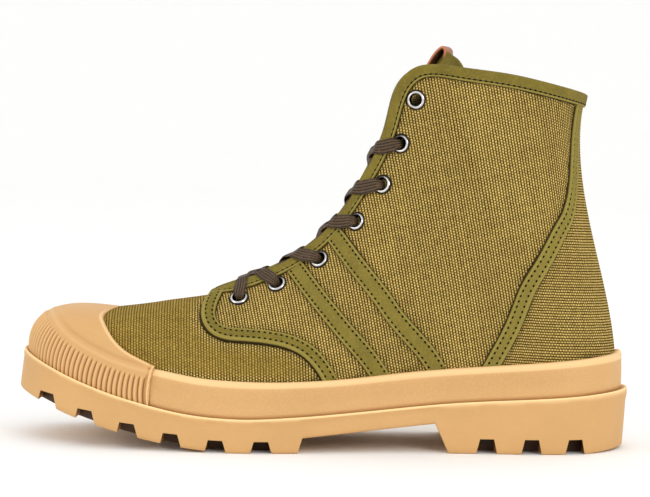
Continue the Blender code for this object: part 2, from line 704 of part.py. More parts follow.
def build_eyelets(parts):
    """Turned metal eyelets: a flange on the canvas and a barrel through it."""
    turn = np.linspace(0, 2 * math.pi, EYELET_SIDES, endpoint=False)[:, None, None]
    face, back = CLEARANCE + EYELET_THICK, -CANVAS - CLEARANCE
    profile = np.array((
        (EYELET_HOLE, back), (EYELET_HOLE, face), (EYELET_FLANGE, CLEARANCE),
        (EYELET_BARREL, CLEARANCE), (EYELET_BARREL, back),
    ))
    radius, height = profile[:, :1], profile[:, 1:]
    for number, (u, v) in enumerate(eyelet_places(), 1):
        for side, word in ((1, "outer"), (-1, "inner")):
            axis = normal(side * u, v)
            first = unit(np.cross(axis, (0, 0, 1)))
            second = np.cross(axis, first)
            spokes = np.cos(turn) * first + np.sin(turn) * second
            rows = surface(side * u, v) + height * axis + radius * spokes
            loft(f"eyelet_{word}_{number}", rows, "eyelet", parts, closed=True)


def throat_point(length, side):
    """A point of the lacing and the way up from it. length runs along the throat edge; side counts
    half gaps from the middle of the throat, and past 1 it runs down the canvas in lace widths."""
    u = np.linspace(CAP_END, BACK, 600)
    edge = TOPS.at(u)
    walked = np.append(0, np.linalg.norm(np.diff(edge, axis=0), axis=1).cumsum())
    u = np.interp(length, walked, u)
    sign = 1 if side < 0 else -1
    if abs(side) > 1:
        v = v_below_top(u, (abs(side) - 1) * LACE_REACH)[0]
        return surface(sign * u, v), normal(sign * u, v)
    outer, inner = TOPS.at(u), TOPS.at(-u)
    up = unit(normal(u, 1.0) + normal(-u, 1.0))
    edge_up = normal(sign * u, 1.0) + unit(TOPS.at(sign * u) - surface(sign * u, 0.97))
    place = outer + (inner - outer) * (side + 1) / 2
    return place, (1 - abs(side)) * up + abs(side) * edge_up


def ribbon(name, points, ups, group):
    """A flat lace through points, with its face turned to the ups."""
    points, ups = np.array(points), np.array(ups)
    along = unit(np.gradient(points, axis=0))
    across = unit(np.cross(along, ups)) * LACE_WIDTH / 2
    up = unit(np.cross(across, along)) * LACE_THICK / 2
    rows = [points + across + up, points - across + up, points - across - up, points + across - up]
    return loft(name, np.stack(rows, 1), "lace", group)


def build_laces(parts, cutters):
    """A straight bar over the first pair of eyelets, then a crossing for each pair above it."""
    line = [throat_point(EYELETS[0].along - BAR_DOWN, side) for side in BAR_SIDES]
    ribbon("lace_bar_1", [point + LACE_LIFT * up for point, up in line],
           [up for _, up in line], parts)
    for number, (level, _) in enumerate(EYELETS[1:-1], 2):
        made = []
        for hand in (1, -1):
            line = [throat_point(level - down, hand * side) for down, side in CROSS_LINE]
            lifts = [LACE_LIFT] * (len(line) - 1) + [LACE_LIFT / 2]
            name = f"lace_cross_{number}" if hand == 1 else f"lace_join_{number}"
            made.append(ribbon(name, [point + lift * up for (point, up), lift in zip(line, lifts)],
                               [up for _, up in line], parts if hand == 1 else cutters))
        made[1].hide_render = True
        made[1].display_type = "WIRE"
        boolean(made[0], made[1], "UNION")


# Run

def main():
    for old in list(bpy.data.objects):
        bpy.data.objects.remove(old)
    parts, cutters = collection("canvas_ankle_boot"), collection("cutters")
    build_outsole(parts, cutters)
    build_insole(parts)
    build_foxing(parts)
    build_toe_cap(parts)
    build_upper(parts, cutters)
    build_tapes(parts)
    build_binding(parts)
    build_tongue(parts)
    build_tongue_loop(parts)
    build_eyelets(parts)
    build_laces(parts, cutters)


main()
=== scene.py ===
"""Looks of a canvas ankle boot: canvas, rubber, tape, thread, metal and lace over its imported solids.

Every form is worked out from the sections of the boot's last. u counts sections round the boot, from
the toe by the outer side to the back seam and home by the inner side, and v runs up a section from
the sole (0) to the throat or the collar (1). Lengths are in millimetres, and MM turns them into metres.
"""

import math
from collections import namedtuple

import bmesh
import bpy
import numpy as np
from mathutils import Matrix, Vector


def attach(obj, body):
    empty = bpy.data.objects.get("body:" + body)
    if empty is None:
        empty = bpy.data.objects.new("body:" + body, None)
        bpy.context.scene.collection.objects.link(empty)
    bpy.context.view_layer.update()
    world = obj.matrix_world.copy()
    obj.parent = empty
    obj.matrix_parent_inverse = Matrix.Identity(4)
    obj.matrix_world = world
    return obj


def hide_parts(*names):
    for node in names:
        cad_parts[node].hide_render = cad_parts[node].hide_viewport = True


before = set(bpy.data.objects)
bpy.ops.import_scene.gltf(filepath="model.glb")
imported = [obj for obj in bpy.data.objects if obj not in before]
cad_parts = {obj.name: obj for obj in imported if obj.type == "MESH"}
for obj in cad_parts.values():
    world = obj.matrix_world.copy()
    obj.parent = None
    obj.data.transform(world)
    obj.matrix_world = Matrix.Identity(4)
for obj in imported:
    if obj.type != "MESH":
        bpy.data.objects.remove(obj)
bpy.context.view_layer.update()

bl_info = {
    "name": "Canvas ankle boot",
    "version": (1, 0, 0),
    "blender": (4, 5, 0),
    "location": "View3D > Sidebar > Boot",
    "description": "Dresses the solids of a canvas ankle boot and sets up its stage",
    "category": "Object",
}

MM = 0.001
BODY = "root"

# Sizes, nearly all of them those of the solids
CLEARANCE = 0.35                # between neighbouring pieces
CANVAS = 1.8                    # thickness of the upper
LEDGE_OUT = 6.0                 # from the canvas out to the sole's edge
INSOLE_THICK = 4.0
TAPE_WIDTHS = {"vamp": 6.6, "front_stay": 8.6, "rear_stay": 8.6, "counter": 7.2}
BINDING_WIDTH = 5.6
TONGUE_THICK = 2.2
TONGUE_SIDE = 16.0              # how far it lies under each edge of the throat
TONGUE_CROWN = 1.4              # rise of its middle between the edges
TONGUE_DEPTH = 4.2              # below the canvas's outer face
LOOP_WIDTH = 13.0
LOOP_THICK = 1.9
LUG_PITCH = 21.6
LUG_REACH = 11.0                # of the notches, in from the sole's edge
RIB_PITCH = 2.55

# Sections of the last, as in the solids
Section = namedtuple(
    "Section", "foot_x lateral medial rise out reach fall heading top_x top_z top_y"
)
SECTIONS = [
    Section(-142.3, -6.0, 6.0, 27.0, 2.2, 60, 13, 90, -58.0, 71.9, 0.0),
    Section(-138.0, 12.5, 23.0, 27.0, 2.2, 58, 13, 76, -57.4, 71.9, 3.2),
    Section(-124.5, 28.2, 36.6, 26.0, 2.0, 50, 14, 58, -55.8, 72.3, 5.8),
    Section(-104.5, 38.6, 43.4, 23.5, 1.6, 37, 17, 38, -52.8, 73.3, 7.4),
    Section(-82.0, 43.8, 46.2, 22.0, 1.2, 28, 24, 20, -48.2, 75.2, 8.2),
    Section(-58.0, 46.6, 46.6, 22.0, 1.2, 25, 36, 2, -40.6, 78.0, 8.8),
    Section(-34.0, 47.0, 42.6, 25.0, 0.8, 26, 41, -9, -26.2, 84.2, 9.4),
    Section(-10.0, 44.2, 35.6, 31.0, 0.4, 30, 44, -18, -10.0, 94.2, 10.2),
    Section(13.0, 40.4, 31.2, 38.0, 0.2, 33, 46, -30, 5.8, 110.5, 11.4),
    Section(34.0, 36.8, 29.4, 46.0, 0.0, 37, 44, -44, 18.3, 131.5, 13.2),
    Section(54.0, 34.6, 29.6, 54.0, 0.0, 40, 38, -58, 27.6, 153.0, 16.0),
    Section(73.0, 33.6, 30.8, 58.0, 0.0, 44, 34, -68, 32.4, 172.4, 19.4),
    Section(90.0, 33.4, 31.8, 58.0, 0.0, 50, 55, -70, 43.2, 183.8, 23.6),
    Section(106.0, 32.8, 31.9, 56.0, 0.2, 56, 82, -30, 63.0, 183.2, 29.6),
    Section(121.0, 29.6, 28.9, 53.0, 0.8, 56, 92, 0, 85.0, 180.4, 32.6),
    Section(133.6, 21.0, 20.7, 50.0, 1.4, 53, 96, -40, 104.6, 176.6, 28.0),
    Section(140.9, 10.9, 10.8, 47.0, 2.0, 50, 100, -70, 118.8, 173.6, 15.8),
    Section(143.7, 0.0, 0.0, 46.0, 2.4, 50, 101, -90, 125.2, 172.2, 0.0),
]
BACK = len(SECTIONS) - 1        # the back seam
LOOP = 2 * BACK                 # all round
CAP_END = 4                     # where the toe cap ends on each side
CAP_END_TURN = 0.12             # by which its end leans to the toe at the top, in sections

# Heights along the boot: (x, z)
LEDGE_HEIGHT = [
    (-150, 43.5), (-140, 39.6), (-128, 34.8), (-116, 30.4), (-101, 25.6), (-83, 21.0),
    (-66, 17.6), (-40, 15.6), (-12, 16.8), (20, 19.6), (60, 23.6), (110, 26.8), (150, 29.6),
]
TREAD_HEIGHT = [
    (-153, 26.0), (-142, 22.4), (-133, 19.2), (-118, 14.0), (-97, 8.2), (-77, 3.9),
    (-60, 1.3), (-44, 0.0), (-8, 0.0), (60, 0.0), (128, 0.0), (150, 1.6),
]
FOXING_TOP = [
    (-92, 38.8), (-80, 36.9), (-60, 33.8), (-36, 32.7), (0, 34.0), (48, 39.1), (108, 43.9),
    (150, 47.5),
]
WALL_FLARE = [(0, 1.9), (3, 1.6), (7, 0.0), (12, -0.8), (17, -2.0)]      # (section, out)
ARCH = [(-11.6, -1.0), (-9.2, 7.2), (53.2, 14.2), (60.2, -1.0)]
FOREFOOT_NOTCH_X = (-28.4, -50.0, -71.5, -92.2, -112.4, -131.8)
FOREFOOT_NOTCH_DEPTH = 5.6
HEEL_NOTCHES = 3
HEEL_NOTCH_X = 78.2
HEEL_NOTCH_DEPTH = 7.2
NOTCH_HALF_WIDTH = (3.4, 5.0)   # at its roof and at its mouth
NOTCH_TILT = 0.45               # share of the tread's slope that a notch's roof follows
NOTCH_UPRIGHT = 2.6             # how far the toe's side of a notch stands up where the tread rises
NOTCH_CORE = 4.0                # left whole on each side of the tread's middle

# Toe cap, by section from the toe: where along a section its rear edge and its crest lie
CAP_EDGE = [0.705, 0.645, 0.50, 0.332, 0.266]
CAP_CREST = [0.36, 0.335, 0.258, 0.218, 0.215]

# Tape centre lines: (x, z) as seen from the side, and (section, height) for the counter
VAMP_TAPE = [
    (-52.2, 73.5), (-54.8, 70.6), (-56.2, 67.0), (-56.3, 63.0), (-54.8, 59.2), (-51.6, 56.2), (-46.7, 54.6),
    (-38.0, 54.1), (-26.0, 53.4), (-16.4, 51.6), (-7.8, 47.5), (-1.0, 40.6), (3.4, 33.6),
]
FRONT_STAY = [(-15.0, 85.7), (-13.2, 83.6), (7.0, 60.0), (27.6, 34.8)]
REAR_STAY = [(3.6, 102.2), (5.2, 100.2), (29.3, 70.0), (54.2, 39.0)]
COUNTER_TAPE = [
    (11.3, 38.0), (11.65, 48.0), (12.0, 57.0), (12.75, 74.0), (13.72, 90.0), (14.6, 106.0), (15.25, 116.0),
    (15.7, 126.0), (15.94, 134.0), (16.19, 149.0), (16.36, 168.0),
]
# Distance of each tape's stitch rows from its middle, towards the collar side first
STITCH_ROWS = {
    "vamp": (1.9, -1.2), "front_stay": (2.85, -2.85), "rear_stay": (2.85, -2.85), "counter": (1.9, -1.4),
}
# The painted shadow beside a tape's edge, a dark slope, by tape and side: how wide it is, and how deep its
# foot lies
TAPE_SHADOWS = {("vamp", -1): (0.95, -1.2), ("counter", 1): (1.2, -0.5)}
TAPE_SHADOW = (0.6, -0.45)      # at all other edges
# How pale each tape's face is between its stitch rows
TAPE_PALE = {"vamp": 0.06, "front_stay": 0.15, "rear_stay": 0.15, "counter": 0.24}
BINDING_STITCH = 4.4            # down from the edge

# Eyelets: distance along the throat's edge, and down the canvas from it
Eyelet = namedtuple("Eyelet", "along inset")
EYELETS = [
    Eyelet(8.2, 11.8), Eyelet(26.0, 10.7), Eyelet(48.9, 10.7), Eyelet(73.8, 10.9),
    Eyelet(95.4, 12.0), Eyelet(115.3, 10.8), Eyelet(137.5, 11.1),
]

# Tongue
TONGUE_SECTIONS = (4.4, 5, 6, 7, 8, 9, 9.8)
TONGUE_FRONT = [
    (3.5, 15), (3.1, 11), (2.5, 9), (1.3, 8), (0, 8), (-1.3, 8), (-2.5, 9), (-3.1, 11), (-3.5, 15),
]
FreeRow = namedtuple("FreeRow", "x z side_x side_z half_width")
TONGUE_FREE_ROWS = [
    FreeRow(36.5, 166.5, 52.0, 158.5, 19.0),
    FreeRow(46.5, 179.0, 60.0, 171.0, 21.0),
    FreeRow(55.6, 192.4, 66.8, 184.6, 20.0),
]
LOOP_LINE = [
    (47.8, 181.8), (50.2, 186.7), (52.4, 190.4), (54.6, 193.0), (56.4, 194.1), (57.5, 193.1), (57.6, 190.8),
    (57.0, 188.0),
]
LOOP_SKEW = 0.32                # back for each millimetre towards the inner side

# Soft creases of the canvas, the same on both sides: from (x, z) to (x, z) as seen from the side,
# half width, and height of the ridge (a trough is below zero)
Crease = namedtuple("Crease", "x0 z0 x1 z1 half_width height")
CREASES = [
    Crease(14, 96, 44, 112, 6.0, -0.55),      # ankle bend, in front of the shaft
    Crease(20, 110, 52, 124, 7.0, 0.40),
    Crease(28, 122, 62, 132, 6.0, -0.45),
    Crease(92, 92, 74, 130, 8.0, -0.50),      # soft hollow beside the counter
    Crease(104, 128, 98, 166, 7.0, -0.35),
    Crease(60, 150, 80, 176, 9.0, 0.35),      # fullness below the collar
    Crease(8, 84, 32, 48, 7.0, 0.45),         # fullness between the stays
    Crease(-14, 72, 8, 42, 6.0, 0.35),
    Crease(-76, 50, -62, 66, 7.0, -0.30),     # where the vamp bends
    Crease(-88, 48, -76, 64, 7.0, 0.30),
]


# The last

def hermite(f, start, end, leave, arrive):
    """The cubic from start to end, as f goes from 0 to 1, with given slopes at both."""
    return (
        (2 * f**3 - 3 * f**2 + 1) * start + (f**3 - 2 * f**2 + f) * leave
        + (3 * f**2 - 2 * f**3) * end + (f**3 - f**2) * arrive
    )


def spline(knots, values, x):
    """Cubics through values at rising knots, whose slopes are those of the neighbours' chords."""
    slopes = np.gradient(values, knots, axis=0)
    x = np.clip(np.asarray(x, float), knots[0], knots[-1])
    i = np.clip(np.searchsorted(knots, x) - 1, 0, len(knots) - 2)
    columns = (...,) + (None,) * (values.ndim - 1)
    width = (knots[i + 1] - knots[i])[columns]
    f = (x - knots[i])[columns] / width
    return hermite(f, values[i], values[i + 1], width * slopes[i], width * slopes[i + 1])


def smooth(table, x):
    """The spline through a table's (x, y) pairs."""
    return spline(*np.array(table, float).T, x)


def step(value, low, high):
    """0 below low, 1 above high, and an s-shaped rise between them."""
    f = np.clip((np.asarray(value, float) - low) / (high - low), 0, 1)
    return f * f * (3 - 2 * f)


def bell(distance, half_width):
    """A bump of height 1 that falls off as the square of the distance grows."""
    return np.exp(-((np.asarray(distance, float) / half_width) ** 2))


class Ring:
    """A closed spline through points, with continuous curvature."""

    def __init__(self, points):
        self.points = np.array(points, float)
        eye = np.eye(len(self.points))
        system = 4 * eye + np.roll(eye, 1, 0) + np.roll(eye, -1, 0)
        chords = 3 * (np.roll(self.points, -1, 0) - np.roll(self.points, 1, 0))
        self.tangents = np.linalg.solve(system, chords)

    def at(self, u):
        """Points at numbers of the given ones, with parts of a number between them."""
        u = np.asarray(u, float) % len(self.points)
        i = np.floor(u).astype(int) % len(self.points)
        j = (i + 1) % len(self.points)
        f = (u - np.floor(u))[..., None]
        return hermite(f, self.points[i], self.points[j], self.tangents[i], self.tangents[j])


def ledge_z(x):
    """Height of the sole's ledge along the boot."""
    return smooth(LEDGE_HEIGHT, x)


def tread_z(x):
    """Height of the tread along the boot, and never below the floor."""
    return np.maximum(smooth(TREAD_HEIGHT, x), 0.0)


def unit(vectors):
    """Vectors divided by their lengths."""
    return vectors / np.linalg.norm(vectors, axis=-1, keepdims=True)


def section_controls():
    """The four control points of every section: foot, above the foot, before the top, and top."""
    numbers = np.arange(LOOP)
    outer = numbers <= BACK
    s = Section(*np.array(SECTIONS, float)[np.where(outer, numbers, LOOP - numbers)].T)
    side = np.where(outer, -1, 1)
    heading, fall = np.radians(s.heading), np.radians(s.fall)
    feet = np.stack((s.foot_x, np.where(outer, -s.lateral, s.medial), ledge_z(s.foot_x) + CLEARANCE), 1)
    tops = np.stack((s.top_x, side * s.top_y, s.top_z), 1)
    lead = np.stack((
        -np.sin(heading) * np.cos(fall), side * np.cos(heading) * np.cos(fall), -np.sin(fall)), 1)
    along = np.roll(feet, -1, 0) - np.roll(feet, 1, 0)
    outward = np.stack((along[:, 1], -along[:, 0], 0 * along[:, 0]), 1)
    outward = unit(outward * np.sign((outward * feet).sum(1))[:, None])
    low = feet + s.rise[:, None] * (0, 0, 1) + s.out[:, None] * outward
    return feet, low, tops + s.reach[:, None] * lead, tops


FEET, LOW, HIGH, TOPS = [Ring(points) for points in section_controls()]
SAMPLES = np.linspace(0, 1, 241)


def surface(u, v):
    """The canvas's outer face: a Bezier curve on each section's four control points, which are carried
    round the boot on closed splines."""
    u, v = np.broadcast_arrays(np.asarray(u, float), np.asarray(v, float))
    f = v[..., None]
    foot = FEET.at(u)
    foot[..., 2] = ledge_z(foot[..., 0]) + CLEARANCE
    return (
        (1 - f) ** 3 * foot + 3 * f * (1 - f) ** 2 * LOW.at(u)
        + 3 * f**2 * (1 - f) * HIGH.at(u) + f**3 * TOPS.at(u)
    )


def normal(u, v):
    """Outward unit normals of the canvas: along the boot crossed with up the section."""
    h = 0.002
    along = surface(np.asarray(u) + h, v) - surface(np.asarray(u) - h, v)
    up = surface(u, np.asarray(v) + h) - surface(u, np.asarray(v) - h)
    return unit(np.cross(along, up))


def shell(u, v, out):
    """Points at a distance out from the canvas's outer face."""
    u, v, out = np.broadcast_arrays(*(np.asarray(a, float) for a in (u, v, out)))
    return surface(u, v) + out[..., None] * normal(u, v)


def edge_way(u):
    """The way on past the canvas's top edge, up each section."""
    h = 0.03
    return unit(TOPS.at(u) - surface(u, 1 - h))


def outline(u, out):
    """The sole's edge of the canvas, moved outwards in plan."""
    h = 0.01
    along = FEET.at(np.asarray(u) + h) - FEET.at(np.asarray(u) - h)
    sideways = unit(np.stack((along[..., 1], -along[..., 0], 0 * along[..., 0]), -1))
    return FEET.at(u) + np.broadcast_to(out, np.shape(u))[..., None] * sideways


def lengths_along(points):
    """Distance walked along each line of points."""
    walked = np.linalg.norm(np.diff(points, axis=-2), axis=-1).cumsum(-1)
    return np.concatenate((np.zeros(walked.shape[:-1] + (1,)), walked), -1)


def reach(rows, goals, steps):
    """For each row of rising values, the step at which it comes to its goal."""
    goals = np.asarray(goals, float)[..., None]
    i = np.clip((rows < goals).sum(-1), 1, rows.shape[-1] - 1)
    low = np.take_along_axis(rows, (i - 1)[..., None], -1)
    high = np.take_along_axis(rows, i[..., None], -1)
    share = np.clip((goals - low) / np.maximum(high - low, 1e-9), 0, 1)[..., 0]
    return steps[i - 1] + share * (steps[i] - steps[i - 1])


def v_at_height(u, z):
    """How far up each section comes to a height."""
    u, z = np.broadcast_arrays(np.atleast_1d(np.asarray(u, float)), np.asarray(z, float))
    heights = surface(u[..., None], SAMPLES)[..., 2]
    return reach(np.maximum.accumulate(heights, -1), z, SAMPLES)


def v_below_top(u, distance):
    """How far up each section comes within a distance of its top, measured on the surface."""
    u, distance = np.broadcast_arrays(np.atleast_1d(np.asarray(u, float)), np.asarray(distance, float))
    return 1 - reach(lengths_along(surface(u[..., None], SAMPLES[::-1])), distance, SAMPLES)


def foxing_v(u):
    """How far up each section the foxing's top edge lies."""
    return v_at_height(u, smooth(FOXING_TOP, FEET.at(u)[..., 0]))


def locate(x, z):
    """The (u, v) of a point on the outer side, from its x and z as seen from the side."""
    u, v = np.meshgrid(np.linspace(0, BACK - 1, 120), np.linspace(0, 1, 120))
    points = surface(u, v)
    near = np.argmin((points[..., 0] - x) ** 2 + (points[..., 2] - z) ** 2)
    found = np.array((u.flat[near], v.flat[near]))
    h = 1e-4
    for _ in range(8):
        here = surface(*found)[[0, 2]]
        by_u = (surface(found[0] + h, found[1])[[0, 2]] - here) / h
        by_v = (surface(found[0], found[1] + h)[[0, 2]] - here) / h
        found = found + np.linalg.solve(np.stack((by_u, by_v), 1), (x, z) - here)
    return found


def through(points, count, knots=None):
    """Evenly spread points on a smooth line through a few, with any further columns carried along."""
    points = np.array(points, float)
    knots = lengths_along(points) if knots is None else knots
    return spline(knots, points, np.linspace(0, knots[-1], count))


def refine(rows, *counts):
    """A finer grid on a smooth surface through a coarse one, spread evenly over its rows and columns."""
    for count in counts:
        knots = np.arange(float(len(rows)))
        rows = spline(knots, rows, np.linspace(0, knots[-1], count)).swapaxes(0, 1)
    return rows


# Mesh making

WELD = 0.002                    # points nearer to each other than this become one


class Skin:
    """Grids of points gathered into one mesh, with a UV map in millimetres and a mask for its finish."""

    def __init__(self):
        self.places, self.faces, self.uvs, self.slots, self.masks = [], [], [], [], []
        self.count = 0

    def grid(self, points, uv=None, closed=(False, False), slot=0, keep=None, mask=0.0):
        """Joins each point of a grid to its neighbours. A face looks to the side of along its rows
        crossed with along its columns. uv is given for each point, with one more row or column where
        the grid is closed, or for each face's corners."""
        rows, columns = points.shape[:2]
        i, j = np.meshgrid(
            np.arange(rows - (not closed[0])), np.arange(columns - (not closed[1])), indexing="ij"
        )
        down, over = np.stack((i, i + 1, i + 1, i), -1), np.stack((j, j, j + 1, j + 1), -1)
        faces = down % rows * columns + over % columns + self.count
        if uv is None:
            uv = np.stack(np.meshgrid(
                np.arange(rows + 1.0), np.arange(columns + 1.0), indexing="ij"), -1)
        corners = uv if uv.ndim == 4 else uv[down, over]
        slots = np.broadcast_to(slot, i.shape)
        keep = np.ones(i.shape, bool) if keep is None else keep
        self.places.append(points.reshape(-1, 3))
        self.faces.append(faces[keep])
        self.uvs.append(corners[keep].reshape(-1, 2))
        self.slots.append(slots[keep])
        self.masks.append(np.broadcast_to(mask, (rows, columns)).ravel())
        self.count += rows * columns
        return self

    def lids(self, row):
        """Closes a ring of points with a fan, turned to the side from which it runs left round."""
        return self.grid(np.stack((np.broadcast_to(row.mean(0), row.shape), row)), closed=(False, True))

    def tube(self, points, mask=0.0, uv=None):
        """Joins each row of a grid into a ring, and closes the first and the last one."""
        self.grid(points, ring_uv(points) if uv is None else uv, closed=(False, True), mask=mask)
        return self.lids(points[0]).lids(points[-1, ::-1])

    def make(self, name, finishes, sharp=None, weld=True):
        """The finished object, with points that coincide merged."""
        places, faces = np.concatenate(self.places) * MM, np.concatenate(self.faces)
        mesh = bpy.data.meshes.new(name)
        mesh.vertices.add(len(places))
        mesh.vertices.foreach_set("co", places.ravel())
        mesh.loops.add(faces.size)
        mesh.loops.foreach_set("vertex_index", faces.ravel().astype(np.int32))
        mesh.polygons.add(len(faces))
        mesh.polygons.foreach_set("loop_start", np.arange(len(faces), dtype=np.int32) * 4)
        mesh.polygons.foreach_set("material_index", np.concatenate(self.slots).astype(np.int32))
        layer = mesh.uv_layers.new(name="UVMap")
        layer.uv.foreach_set("vector", np.concatenate(self.uvs).ravel())
        mask = mesh.attributes.new("mask", "FLOAT", "POINT")
        mask.data.foreach_set("value", np.concatenate(self.masks).astype(float))
        mesh.update(calc_edges=True)
        mesh.validate()
        if weld:
            bm = bmesh.new()
            bm.from_mesh(mesh)
            bmesh.ops.remove_doubles(bm, verts=bm.verts, dist=WELD * MM)
            bmesh.ops.dissolve_degenerate(bm, edges=bm.edges, dist=WELD * MM / 2)
            bm.to_mesh(mesh)
            bm.free()
        mesh.shade_smooth()
        if sharp is not None:
            mesh.set_sharp_from_angle(angle=math.radians(sharp))
        for finish in finishes:
            mesh.materials.append(material(finish))
        piece = bpy.data.objects.new(name, mesh)
        bpy.context.scene.collection.objects.link(piece)
        return piece


def ring_uv(points):
    """UV in millimetres for rows that are closed rings: from each ring's middle, and along the rows."""
    ring = np.concatenate((points, points[:, :1]), 1)
    across = lengths_along(ring)
    along = lengths_along(ring[:, ring.shape[1] // 2])
    return np.stack((across - across[:, -1:] / 2, np.broadcast_to(along[:, None], across.shape)), -1)


# Finishes

def srgb(red, green, blue):
    """A colour as shown on a screen, 0 to 255, turned into the light it stands for."""
    parts = np.array((red, green, blue)) / 255
    return tuple(np.where(parts <= 0.04045, parts / 12.92, ((parts + 0.055) / 1.055) ** 2.4))


def shade(colour, factor):
    """A colour made darker or lighter."""
    return tuple(min(1.0, factor * part) for part in colour)


class Nodes:
    """A shader tree with short calls that add a node and give its output."""

    def __init__(self, tree):
        self.tree = tree

    def add(self, kind, *inputs, **settings):
        """A new node with its settings, and with its first inputs filled."""
        node = self.tree.nodes.new(kind)
        for name, value in settings.items():
            setattr(node, name, value)
        for socket, value in zip(node.inputs, inputs):
            self.put(socket, value)
        return node

    def put(self, socket, value):
        """Links a socket to an output, or sets it to a value or a colour."""
        if isinstance(value, bpy.types.NodeSocket):
            self.tree.links.new(value, socket)
        else:
            socket.default_value = (*value, 1) if socket.type == "RGBA" else value

    def fill(self, node, **values):
        """Puts values into a node's inputs by name, and gives its outputs."""
        for name, value in values.items():
            self.put(node.inputs[name.replace("_", " ")], value)
        return node.outputs

    def math(self, operation, *values):
        return self.add("ShaderNodeMath", *values, operation=operation).outputs[0]

    def plus(self, a, b):
        return self.math("ADD", a, b)

    def times(self, a, b):
        return self.math("MULTIPLY", a, b)

    def wave(self, value, factor):
        """The sine of a value times a factor."""
        return self.math("SINE", self.times(value, factor))

    def between(self, value, low, high, start=0.0, end=1.0):
        """An s-shaped rise from start to end while a value goes from low to high."""
        limits = (value, low, high, start, end)
        return self.add("ShaderNodeMapRange", *limits, interpolation_type="SMOOTHSTEP").outputs[0]

    def mix(self, share, a, b, blend="MIX"):
        """A share of colour b in colour a."""
        node = self.add("ShaderNodeMix", data_type="RGBA", blend_type=blend)
        for number, value in ((0, share), (6, a), (7, b)):
            self.put(node.inputs[number], value)
        return node.outputs[2]

    def noise(self, vector, scale, detail=2.0, roughness=0.5):
        node = self.add("ShaderNodeTexNoise")
        return self.fill(node, Vector=vector, Scale=scale, Detail=detail, Roughness=roughness)[0]

    def scatter(self, value):
        """A random value for each whole number."""
        node = self.add("ShaderNodeTexWhiteNoise", noise_dimensions="1D")
        return self.fill(node, W=value)["Value"]

    def split(self, vector):
        """The first two parts of a vector."""
        return self.add("ShaderNodeSeparateXYZ", vector).outputs[:2]

    def group(self, tree, **values):
        return self.fill(self.add("ShaderNodeGroup", node_tree=tree), **values)

    def bump(self, height, distance):
        return self.fill(self.add("ShaderNodeBump"), Height=height, Distance=distance, Strength=1.0)[0]


class Finish(Nodes):
    """A new material's nodes, with the piece's UV map, its mask and its own coordinates."""

    def __init__(self, name):
        made = bpy.data.materials.new(name)
        made.use_nodes = True
        super().__init__(made.node_tree)
        self.uv = self.add("ShaderNodeUVMap", uv_map="UVMap").outputs[0]
        self.mask = self.add("ShaderNodeAttribute", attribute_name="mask").outputs["Fac"]
        self.place = self.add("ShaderNodeTexCoord").outputs["Object"]

    def end(self, **values):
        """Puts values into the main shader's inputs."""
        self.fill(self.tree.nodes["Principled BSDF"], **values)


def new_group(name, inputs, outputs):
    """An empty node group that takes a vector and some values: its nodes, its inputs and its outputs."""
    tree = bpy.data.node_groups.new(name, "ShaderNodeTree")
    tree.interface.new_socket(name="Vector", in_out="INPUT", socket_type="NodeSocketVector")
    for way, labels in (("INPUT", inputs), ("OUTPUT", outputs)):
        for label in labels:
            tree.interface.new_socket(name=label, in_out=way, socket_type="NodeSocketFloat")
    entry, leave = tree.nodes.new("NodeGroupInput"), tree.nodes.new("NodeGroupOutput")
    return Nodes(tree), entry.outputs, leave.inputs


def weave_group():
    """Plain weave: the product of two sines stands above zero where a warp thread is on top and below
    it where a weft thread is. The warp stands up in ribs with dark lines between them. Slow noise
    shifts the threads, and each thread and each crossing has its own shade."""
    made = bpy.data.node_groups.get("boot weave")
    if made:
        return made
    n, given, out = new_group(
        "boot weave", ("Pitch", "Stretch", "Slub"), ("Height", "Thread", "Gap", "Shade"))

    def threads(part, pitch, scale, detail, reach):
        """Counts threads along one part of the vector, shifted by slow noise."""
        slow = n.times(n.math("SUBTRACT", n.noise(given["Vector"], scale, detail), 0.5), given["Slub"])
        return n.plus(n.math("DIVIDE", part, pitch), n.times(slow, reach))

    x, y = n.split(given["Vector"])
    across = threads(x, given["Pitch"], 0.35, 2.0, 6.0)
    along = threads(y, n.times(given["Pitch"], given["Stretch"]), 0.8, 1.0, 3.0)
    warp, weft = n.wave(across, math.pi), n.wave(along, math.pi)
    over, rib = n.times(warp, weft), n.math("ABSOLUTE", warp)
    column, row = n.math("FLOOR", across), n.math("FLOOR", along)
    spot = n.add("ShaderNodeCombineXYZ", column, row).outputs[0]
    cell = n.add("ShaderNodeTexWhiteNoise", spot, noise_dimensions="2D").outputs["Value"]
    beside = n.times(n.between(rib, 0.18, 0.78, 1.0, 0.0), n.between(cell, 0.0, 1.0, 1.0, 0.72))
    below = n.between(n.math("ABSOLUTE", weft), 0.05, 0.45, 0.32, 0.0)
    lone = n.plus(n.scatter(column), n.scatter(n.plus(row, 500.5)))
    n.put(out["Height"], n.plus(n.math("POWER", rib, 0.7), n.times(over, 0.4)))
    n.put(out["Thread"], n.between(n.plus(n.times(over, 0.34), n.times(rib, 0.66)), 0.30, 1.0))
    n.put(out["Gap"], n.math("MAXIMUM", beside, below))
    n.put(out["Shade"], n.plus(n.times(lone, 0.25), n.times(cell, 0.5)))
    return n.tree


def grain_group():
    """Fine moulded grain: noise at two sizes, with the larger one cut off at its tops and bottoms."""
    made = bpy.data.node_groups.get("boot grain")
    if made:
        return made
    n, given, out = new_group("boot grain", ("Size",), ("Height", "Blotch"))
    fine = n.math("DIVIDE", 1000.0, given["Size"])
    pebble = n.between(n.noise(given["Vector"], fine, 3.0, 0.6), 0.35, 0.65)
    dust = n.noise(given["Vector"], n.times(fine, 3.1))
    n.put(out["Height"], n.plus(n.times(pebble, 0.7), n.times(dust, 0.3)))
    n.put(out["Blotch"], n.noise(given["Vector"], 32.0, 4.0, 0.55))
    return n.tree


